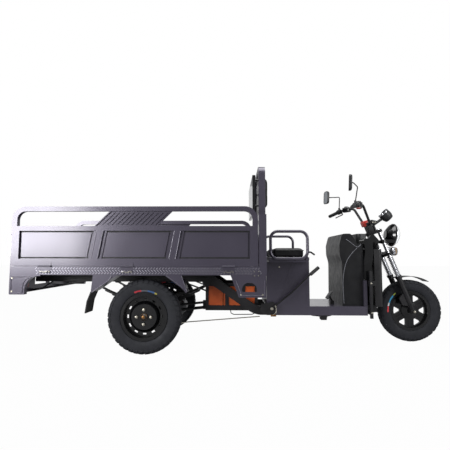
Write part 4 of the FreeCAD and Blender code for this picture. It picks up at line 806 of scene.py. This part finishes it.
def pressed_edges():
    """The beads rolled into the corner plates and along the cut edges of the mudguards."""
    face = -panel_y + 0.0008
    # A point given twice keeps a corner of the line sharp
    lines = [[(-1.729, 0.580), (-1.729, 0.580), (-1.729, 0.461), (-1.729, 0.461), (-1.642, 0.461),
              (-1.642, 0.461), (-1.640, 0.520), (-1.622, 0.562), (-1.575, 0.580), (-1.575, 0.580),
              (-1.729, 0.580)],
             [(0.184, 0.560), (0.184, 0.560), (0.184, 0.446), (0.184, 0.446), (0.012, 0.446), (0.012, 0.446),
              (-0.030, 0.560)],
             [(-1.110, 0.468), (-1.040, 0.518), (-0.972, 0.562), (-0.964, 0.594)],
             [(-0.556, 0.594), (-0.490, 0.545), (-0.422, 0.499), (-0.402, 0.468)],
             [(-0.395, 0.474), (-0.416, 0.530), (-0.440, 0.594)]]
    beads = [tube("bead", [(x, face, z) for x, z in line], 0.0042, 8) for line in lines]
    right = joined("pressed_beads_right", beads)
    smooth(right, 60)
    fit(right, "chassis", finishes["body_paint"])
    fit(mirrored(right, "pressed_beads_left"), "chassis", finishes["body_paint"])


# Wheels' small pieces

def wheel_caps():
    """The brass cap and the bright nuts of each rear wheel."""
    nut_circle_r = 0.054
    for side, end in ((-1, "right"), (1, "left")):
        centre = middle("rear_tyre_" + end)
        face = Vector((centre.x, side * 0.5755, centre.z))
        axis = (0, side, 0)
        cap = spun("rear_cap_" + end, [(0.0, 0.0), (0.0125, -0.0012), (0.0185, -0.0045), (0.0215, -0.008),
                                       (0.0252, -0.0105), (0.0252, -0.0125), (0.0, -0.0125)],
                   face + Vector((0, side * 0.0012, 0)), axis, 40)
        smooth(cap)
        fit(cap, "rear_wheel_" + end, finishes["brass"])
        nuts = []
        for number in range(4):
            angle = math.radians(90 * number)
            spot = Vector((centre.x + nut_circle_r * math.cos(angle), side * 0.5650,
                           centre.z + nut_circle_r * math.sin(angle)))
            nuts.append(barrel("nut", spot, axis, 0.0118, 0.0102, 6))
            nuts.append(barrel("stud", spot + Vector((0, side * 0.0065, 0)), axis, 0.0055, 0.005, 16))
        nut_set = joined("rear_nuts_" + end, nuts)
        round_edges(nut_set, 0.0008)
        smooth(nut_set)
        fit(nut_set, "rear_wheel_" + end, finishes["zinc"])
    axle = []
    for side in (-1, 1):
        spot = middle("front_tyre") + Vector((0, side * 0.1165, 0))
        axle.append(barrel("axle_nut", spot, (0, 1, 0), 0.011, 0.009, 6))
    axle_set = joined("front_axle_nuts", axle)
    round_edges(axle_set, 0.0008)
    smooth(axle_set)
    fit(axle_set, "steering", finishes["zinc"])


# Headlamp and instruments

lamp_axis = Vector((1, 0, -0.12)).normalized()


def headlamp():
    """A clear dome over a mirrored bowl with a round projector and a bright rim."""
    centre = on_fork(0.128, 0, 0.663)
    dome_line = [(0.0964, 0.0026), (0.0964, 0.012), (0.088, 0.026), (0.0757, 0.0385), (0.055, 0.051),
                 (0.030, 0.059), (0.0, 0.0618)]
    inner = [(max(r - 0.0028, 0.0), along - 0.0024) for r, along in dome_line[1:]]
    dome = spun("headlamp_dome", dome_line + inner[::-1] + [(0.0936, 0.0026), (0.0964, 0.0026)], centre,
                lamp_axis, 64)
    smooth(dome, 40)
    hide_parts("headlamp_lens")
    fit(dome, "steering", finishes["clear_lens"])
    bowl = spun("headlamp_reflector", [(0.0, 0.0042), (0.034, 0.0046), (0.060, 0.0062), (0.082, 0.0102),
                                       (0.092, 0.0146), (0.0925, 0.0126), (0.083, 0.0080), (0.060, 0.0042),
                                       (0.034, 0.0026), (0.0, 0.0024)], centre, lamp_axis, 64)
    smooth(bowl, 60)
    fit(bowl, "steering", finishes["reflector"])
    projector = spun("headlamp_projector", [(0.0, 0.034), (0.012, 0.0325), (0.021, 0.028), (0.026, 0.021),
                                            (0.029, 0.020), (0.029, 0.0065), (0.0, 0.0065)], centre,
                     lamp_axis, 48)
    smooth(projector, 40)
    fit(projector, "steering", finishes["gloss_black"])
    bulb = spun("headlamp_bulb", [(0.0, 0.0), (0.009, 0.002), (0.012, 0.009), (0.010, 0.017), (0.005, 0.021),
                                  (0.0, 0.022)], centre + Vector((0, 0, 0.048)) + lamp_axis * 0.010,
                lamp_axis, 24)
    smooth(bulb, 60)
    fit(bulb, "steering", finishes["warm_glass"])
    rim = spun("headlamp_rim", [(0.0970, 0.0085), (0.1025, 0.0083), (0.1028, 0.0045), (0.1012, 0.0095),
                                (0.0985, 0.0112), (0.0970, 0.0085)], centre, lamp_axis, 64)
    smooth(rim, 60)
    fit(rim, "steering", finishes["chrome"])


def gauge():
    """The instrument's dial with its ticks and needle, and a bright bezel."""
    tilt = Vector((-0.72, 0, 0.69)).normalized()
    centre = on_fork(0.150, 0, 0.8425)
    face = centre + tilt * 0.0375
    dial = barrel("gauge_dial", face + tilt * 0.0004, tilt, 0.0445, 0.0006, 48)
    fit(dial, "steering", finishes["dial"])
    sweep = []
    side = tilt.cross(Vector((0, 1, 0))).normalized()
    for number in range(9):
        angle = math.radians(-120 + 30 * number)
        out = side * math.cos(angle) + Vector((0, 1, 0)) * math.sin(angle)
        sweep.append(tube("tick", [face + tilt * 0.0010 + out * 0.033, face + tilt * 0.0010 + out * 0.040],
                          0.0006, 4, 2))
    sweep.append(tube("needle", [face + tilt * 0.0018, face + tilt * 0.0018 + side * 0.034], 0.0007, 4, 2))
    marks = joined("gauge_marks", sweep)
    fit(marks, "steering", finishes["white_ink"])
    ring = spun("gauge_bezel", [(0.0455, 0.0030), (0.0470, 0.0052), (0.0492, 0.0052), (0.0502, 0.0030),
                                (0.0502, -0.004), (0.0455, 0.0030)], face, tilt, 48)
    smooth(ring, 60)
    fit(ring, "steering", finishes["chrome"])


def indicators():
    """Amber domes on the fronts of the two indicators under the headlamp."""
    domes = []
    for side in (-1, 1):
        centre = on_fork(0.062, side * 0.044, 0.533)
        domes.append(spun("dome", [(0.0, 0.0378), (0.014, 0.0360), (0.026, 0.0315), (0.0335, 0.0262),
                                   (0.0365, 0.0185), (0.0382, 0.0182), (0.0382, 0.0100), (0.0, 0.0100)],
                          centre, (1, 0, 0), 40))
    lens_set = joined("indicator_lenses", domes)
    smooth(lens_set, 40)
    fit(lens_set, "steering", finishes["amber_lens"])


# Rider's place

def lever_grip():
    """The ribbed rubber sleeve on the parking lever."""
    root, tip = Vector((0.577, -0.330, 0.592)), Vector((0.645, -0.330, 0.650))
    along = (tip - root).normalized()
    length = (tip - root).length
    profile = [(0.0, -0.001), (0.0115, -0.001)]
    ribs = 9
    for rib in range(ribs):
        start = length * rib / ribs
        profile += [(0.0132, start + 0.001), (0.0146, start + 0.0025), (0.0146, start + 0.0060),
                    (0.0132, start + 0.0078)]
    profile += [(0.0132, length + 0.0005), (0.009, length + 0.0028), (0.0, length + 0.0034)]
    sleeve = spun("lever_grip", profile, root, along, 32)
    smooth(sleeve, 40)
    fit(sleeve, "chassis", finishes["rubber"])


def bar_place(side, along, across, up):
    """A place on the handlebar, measured from its clamp."""
    clamp = on_fork(-0.039, 0, 0.829)
    return Vector((clamp.x + along, side * across, clamp.z + up))


def control_housings():
    """The moulded housings inboard of the switch pods, with a lid each, and the red stop switch."""
    housings = []
    for side in (-1, 1):
        root = bar_place(side, -0.164, 0.215, 0.155)
        rise = bar_place(side, -0.078, 0.130, 0.164)
        along = (rise - root).normalized()
        body = block("housing", (-0.021, -0.023, -0.034), (0.023, 0.023, 0.036))
        round_edges(body, 0.008, 3)
        body.rotation_mode = "QUATERNION"
        body.rotation_quaternion = along.to_track_quat("Z", "Y")
        body.location = root + along * 0.046
        housings.append(settle(body))
        lid = barrel("lid", root + along * 0.046 + Vector((0, 0, 0.026)), (0, 0, 1), 0.019, 0.012, 32)
        round_edges(lid, 0.002)
        housings.append(lid)
    both = joined("control_housings", housings)
    smooth(both)
    fit(both, "steering", finishes["gloss_black"])
    switch = block("stop_switch", (-0.018, -0.008, -0.006), (0.018, 0.008, 0.006))
    switch.location = bar_place(-1, -0.146, 0.224, 0.122)
    settle(switch)
    round_edges(switch, 0.0025)
    smooth(switch)
    fit(switch, "steering", finishes["red_plastic"])


def gauge_bracket():
    """The folded bracket between the handlebar clamp and the gauge's arm, with two bolts."""
    plate = block("gauge_bracket", (-0.026, -0.028, -0.024), (0.026, 0.028, 0.024))
    edit_faces(plate, lambda face: face.normal.x > 0.9)
    bpy.ops.transform.resize(value=(1, 0.7, 0.6))
    done()
    plate.location = (1.216, 0, 1.046)
    settle(plate)
    round_edges(plate, 0.004)
    smooth(plate)
    fit(plate, "steering", finishes["black_paint"])
    heads = [barrel("head", (x, side * 0.0275, 1.046), (0, 1, 0), 0.006, 0.006, 6)
             for x in (1.200, 1.222) for side in (-1, 1)]
    bolts = joined("gauge_bracket_bolts", heads)
    smooth(bolts)
    fit(bolts, "steering", finishes["zinc"])


def knee_seams():
    """Grey piping sewn along the edges of the soft knee cover, on both sides."""
    y = -0.2412
    lines = [[(0.897, y, 0.884), (0.930, y, 0.862), (0.987, y, 0.813), (1.008, y, 0.826), (1.021, y, 0.842)],
             [(0.987, y, 0.811), (0.935, y, 0.760), (0.892, y, 0.693), (0.866, y, 0.580), (0.862, y, 0.461),
              (0.868, y, 0.350)]]
    cords = [tube("cord", line, 0.0022, 8) for line in lines]
    right = joined("knee_piping_right", cords)
    smooth(right, 60)
    fit(right, "chassis", finishes["grey_piping"])
    fit(mirrored(right, "knee_piping_left"), "chassis", finishes["grey_piping"])


def clamp_cover():
    """The red plastic cover over the handlebar clamp, as the vehicle is delivered."""
    cover = block("clamp_cover", (-0.024, -0.040, 0.0), (0.024, 0.040, 0.050))
    round_edges(cover, 0.006, 3)
    cover.rotation_mode = "QUATERNION"
    cover.rotation_quaternion = Quaternion((0, 1, 0), -rake)
    cover.location = on_fork(-0.057, 0, 0.822)
    settle(cover)
    smooth(cover)
    fit(cover, "steering", finishes["red_plastic"])


def lever_pivot():
    """The parking lever's pivot nut, return spring and cable clevis, in zinc and brass."""
    y = -0.343
    pieces = [barrel("nut", (0.262, y, 0.318), (0, 1, 0), 0.0125, 0.008, 6),
              barrel("nut", (0.292, y + 0.008, 0.337), (0, 1, 0), 0.007, 0.008, 6),
              tube("hook", [(0.292, y, 0.337), (0.300, y, 0.300), (0.286, y, 0.276), (0.262, y, 0.268)],
                   0.0022, 8)]
    round_edges(pieces[0], 0.0008)
    zinc_set = joined("lever_pivot", pieces)
    smooth(zinc_set)
    fit(zinc_set, "chassis", finishes["zinc"])
    clevis = block("lever_clevis", (0.252, y - 0.002, 0.256), (0.296, y + 0.008, 0.272))
    round_edges(clevis, 0.002)
    smooth(clevis)
    fit(clevis, "chassis", finishes["brass"])


def small_bolts():
    """Screws and bolts that show from a step away."""
    spots = [((0.330, -0.2862, 0.651), (0, 1, 0), 0.007), ((0.010, -0.6012, 0.452), (0, 1, 0), 0.007),
             ((0.170, -0.6012, 0.452), (0, 1, 0), 0.007), ((-1.722, -0.6012, 0.470), (0, 1, 0), 0.007),
             ((-1.722, -0.6012, 0.570), (0, 1, 0), 0.007), ((1.073, -0.308, 0.520), (0, 1, 0), 0.008),
             ((1.073, -0.308, 0.283), (0, 1, 0), 0.008)]
    heads = [barrel("head", place, axis, radius, 0.004, 6) for place, axis, radius in spots]
    right = joined("bolts_right", heads)
    round_edges(right, 0.0006)
    smooth(right)
    fit(right, "chassis", finishes["zinc"])
    fit(mirrored(right, "bolts_left"), "chassis", finishes["zinc"])


# Floor, light and camera

def plain_white(tree):
    """How much of the background's white a ray meets: all of it from the camera and through
    glass, and a share of it in reflections, so that black pieces stay black."""
    path = add(tree, "ShaderNodeLightPath")
    mirrored_share = add(tree, "ShaderNodeMath", {0: path.outputs["Is Glossy Ray"], 1: 0.16},
                         operation="MULTIPLY")
    direct = add(tree, "ShaderNodeMath", {0: path.outputs["Is Camera Ray"],
                                          1: path.outputs["Is Transmission Ray"]}, operation="MAXIMUM")
    either = add(tree, "ShaderNodeMath", {0: direct.outputs["Value"], 1: mirrored_share.outputs["Value"]},
                 operation="MAXIMUM")
    return either.outputs["Value"]


def floor_material():
    """Plain pale floor: near white to the camera and in reflections, with the object's shadow."""
    material = bpy.data.materials.new("pale_floor")
    material.use_nodes = True
    tree = material.node_tree
    tree.nodes.clear()
    share = add(tree, "ShaderNodeMath", {0: plain_white(tree), 1: 0.98}, operation="MULTIPLY")
    lit = add(tree, "ShaderNodeBsdfDiffuse", {"Color": colour("#8b8b8d")})
    white = add(tree, "ShaderNodeEmission", {"Color": colour("#ffffff"), "Strength": 1.0})
    both = add(tree, "ShaderNodeMixShader", {0: share.outputs["Value"], 1: lit.outputs["BSDF"],
                                             2: white.outputs["Emission"]})
    add(tree, "ShaderNodeOutputMaterial", {"Surface": both.outputs["Shader"]})
    return material


def pale_floor():
    deselect()
    bpy.ops.mesh.primitive_plane_add(size=60, location=(0, 0, 0))
    floor = take("floor")
    floor.data.materials.append(floor_material())


def world_light(strength):
    """Even light from all round, and a white background to the camera and in reflections."""
    world = bpy.data.worlds.new("studio")
    bpy.context.scene.world = world
    world.use_nodes = True
    tree = world.node_tree
    tree.nodes.clear()
    soft = add(tree, "ShaderNodeBackground", {"Color": colour("#f2f4f8"), "Strength": strength})
    white = add(tree, "ShaderNodeBackground", {"Color": colour("#ffffff"), "Strength": 1.0})
    both = add(tree, "ShaderNodeMixShader", {0: plain_white(tree), 1: soft.outputs["Background"],
                                             2: white.outputs["Background"]})
    add(tree, "ShaderNodeOutputWorld", {"Surface": both.outputs["Shader"]})


def soft_box(name, place, target, width, height, power):
    data = bpy.data.lights.new(name, "AREA")
    data.shape = "RECTANGLE"
    data.size = width
    data.size_y = height
    data.energy = power
    lamp = bpy.data.objects.new(name, data)
    bpy.context.scene.collection.objects.link(lamp)
    lamp.location = place
    lamp.rotation_mode = "QUATERNION"
    lamp.rotation_quaternion = (Vector(target) - Vector(place)).to_track_quat("-Z", "Y")
    return lamp


def lights():
    world_light(0.2)
    soft_box("rear_softbox", (-3.9, -3.9, 1.55), (-1.4, -0.6, 0.9), 2.7, 1.9, 270)
    soft_box("top_softbox", (0.0, -0.5, 4.2), (0, 0, 0.4), 5.0, 3.0, 220)
    soft_box("front_softbox", (4.2, -3.2, 2.2), (1.0, -0.2, 0.6), 1.4, 2.4, 130)
    soft_box("back_softbox", (0.0, 5.0, 1.2), (0, 0, 0.8), 9.0, 2.2, 30).visible_camera = False


def camera():
    data = bpy.data.cameras.new("camera")
    data.sensor_width = sensor_mm
    data.lens = focal_px / picture_px * sensor_mm
    data.clip_start = 0.05
    data.clip_end = 200
    eye = bpy.data.objects.new("camera", data)
    bpy.context.scene.collection.objects.link(eye)
    eye.location = camera_place
    eye.rotation_mode = "QUATERNION"
    level = Euler((math.radians(90 + camera_pitch_deg), 0, math.radians(camera_turn_deg)))
    eye.rotation_quaternion = level.to_quaternion() @ Quaternion((0, 0, 1), math.radians(camera_roll_deg))
    bpy.context.scene.camera = eye


dress_nodes()
all_tyres()
fork_legs()
seat()
back_cushion()
chequer_lugs()
side_hardware()
painted_shadow_gaps()
rib_edges()
pressed_edges()
wheel_caps()
headlamp()
gauge()
indicators()
lever_grip()
lever_pivot()
control_housings()
gauge_bracket()
knee_seams()
clamp_cover()
small_bolts()
pale_floor()
lights()
camera()
bpy.context.scene.view_settings.view_transform = "Standard"

deselect()
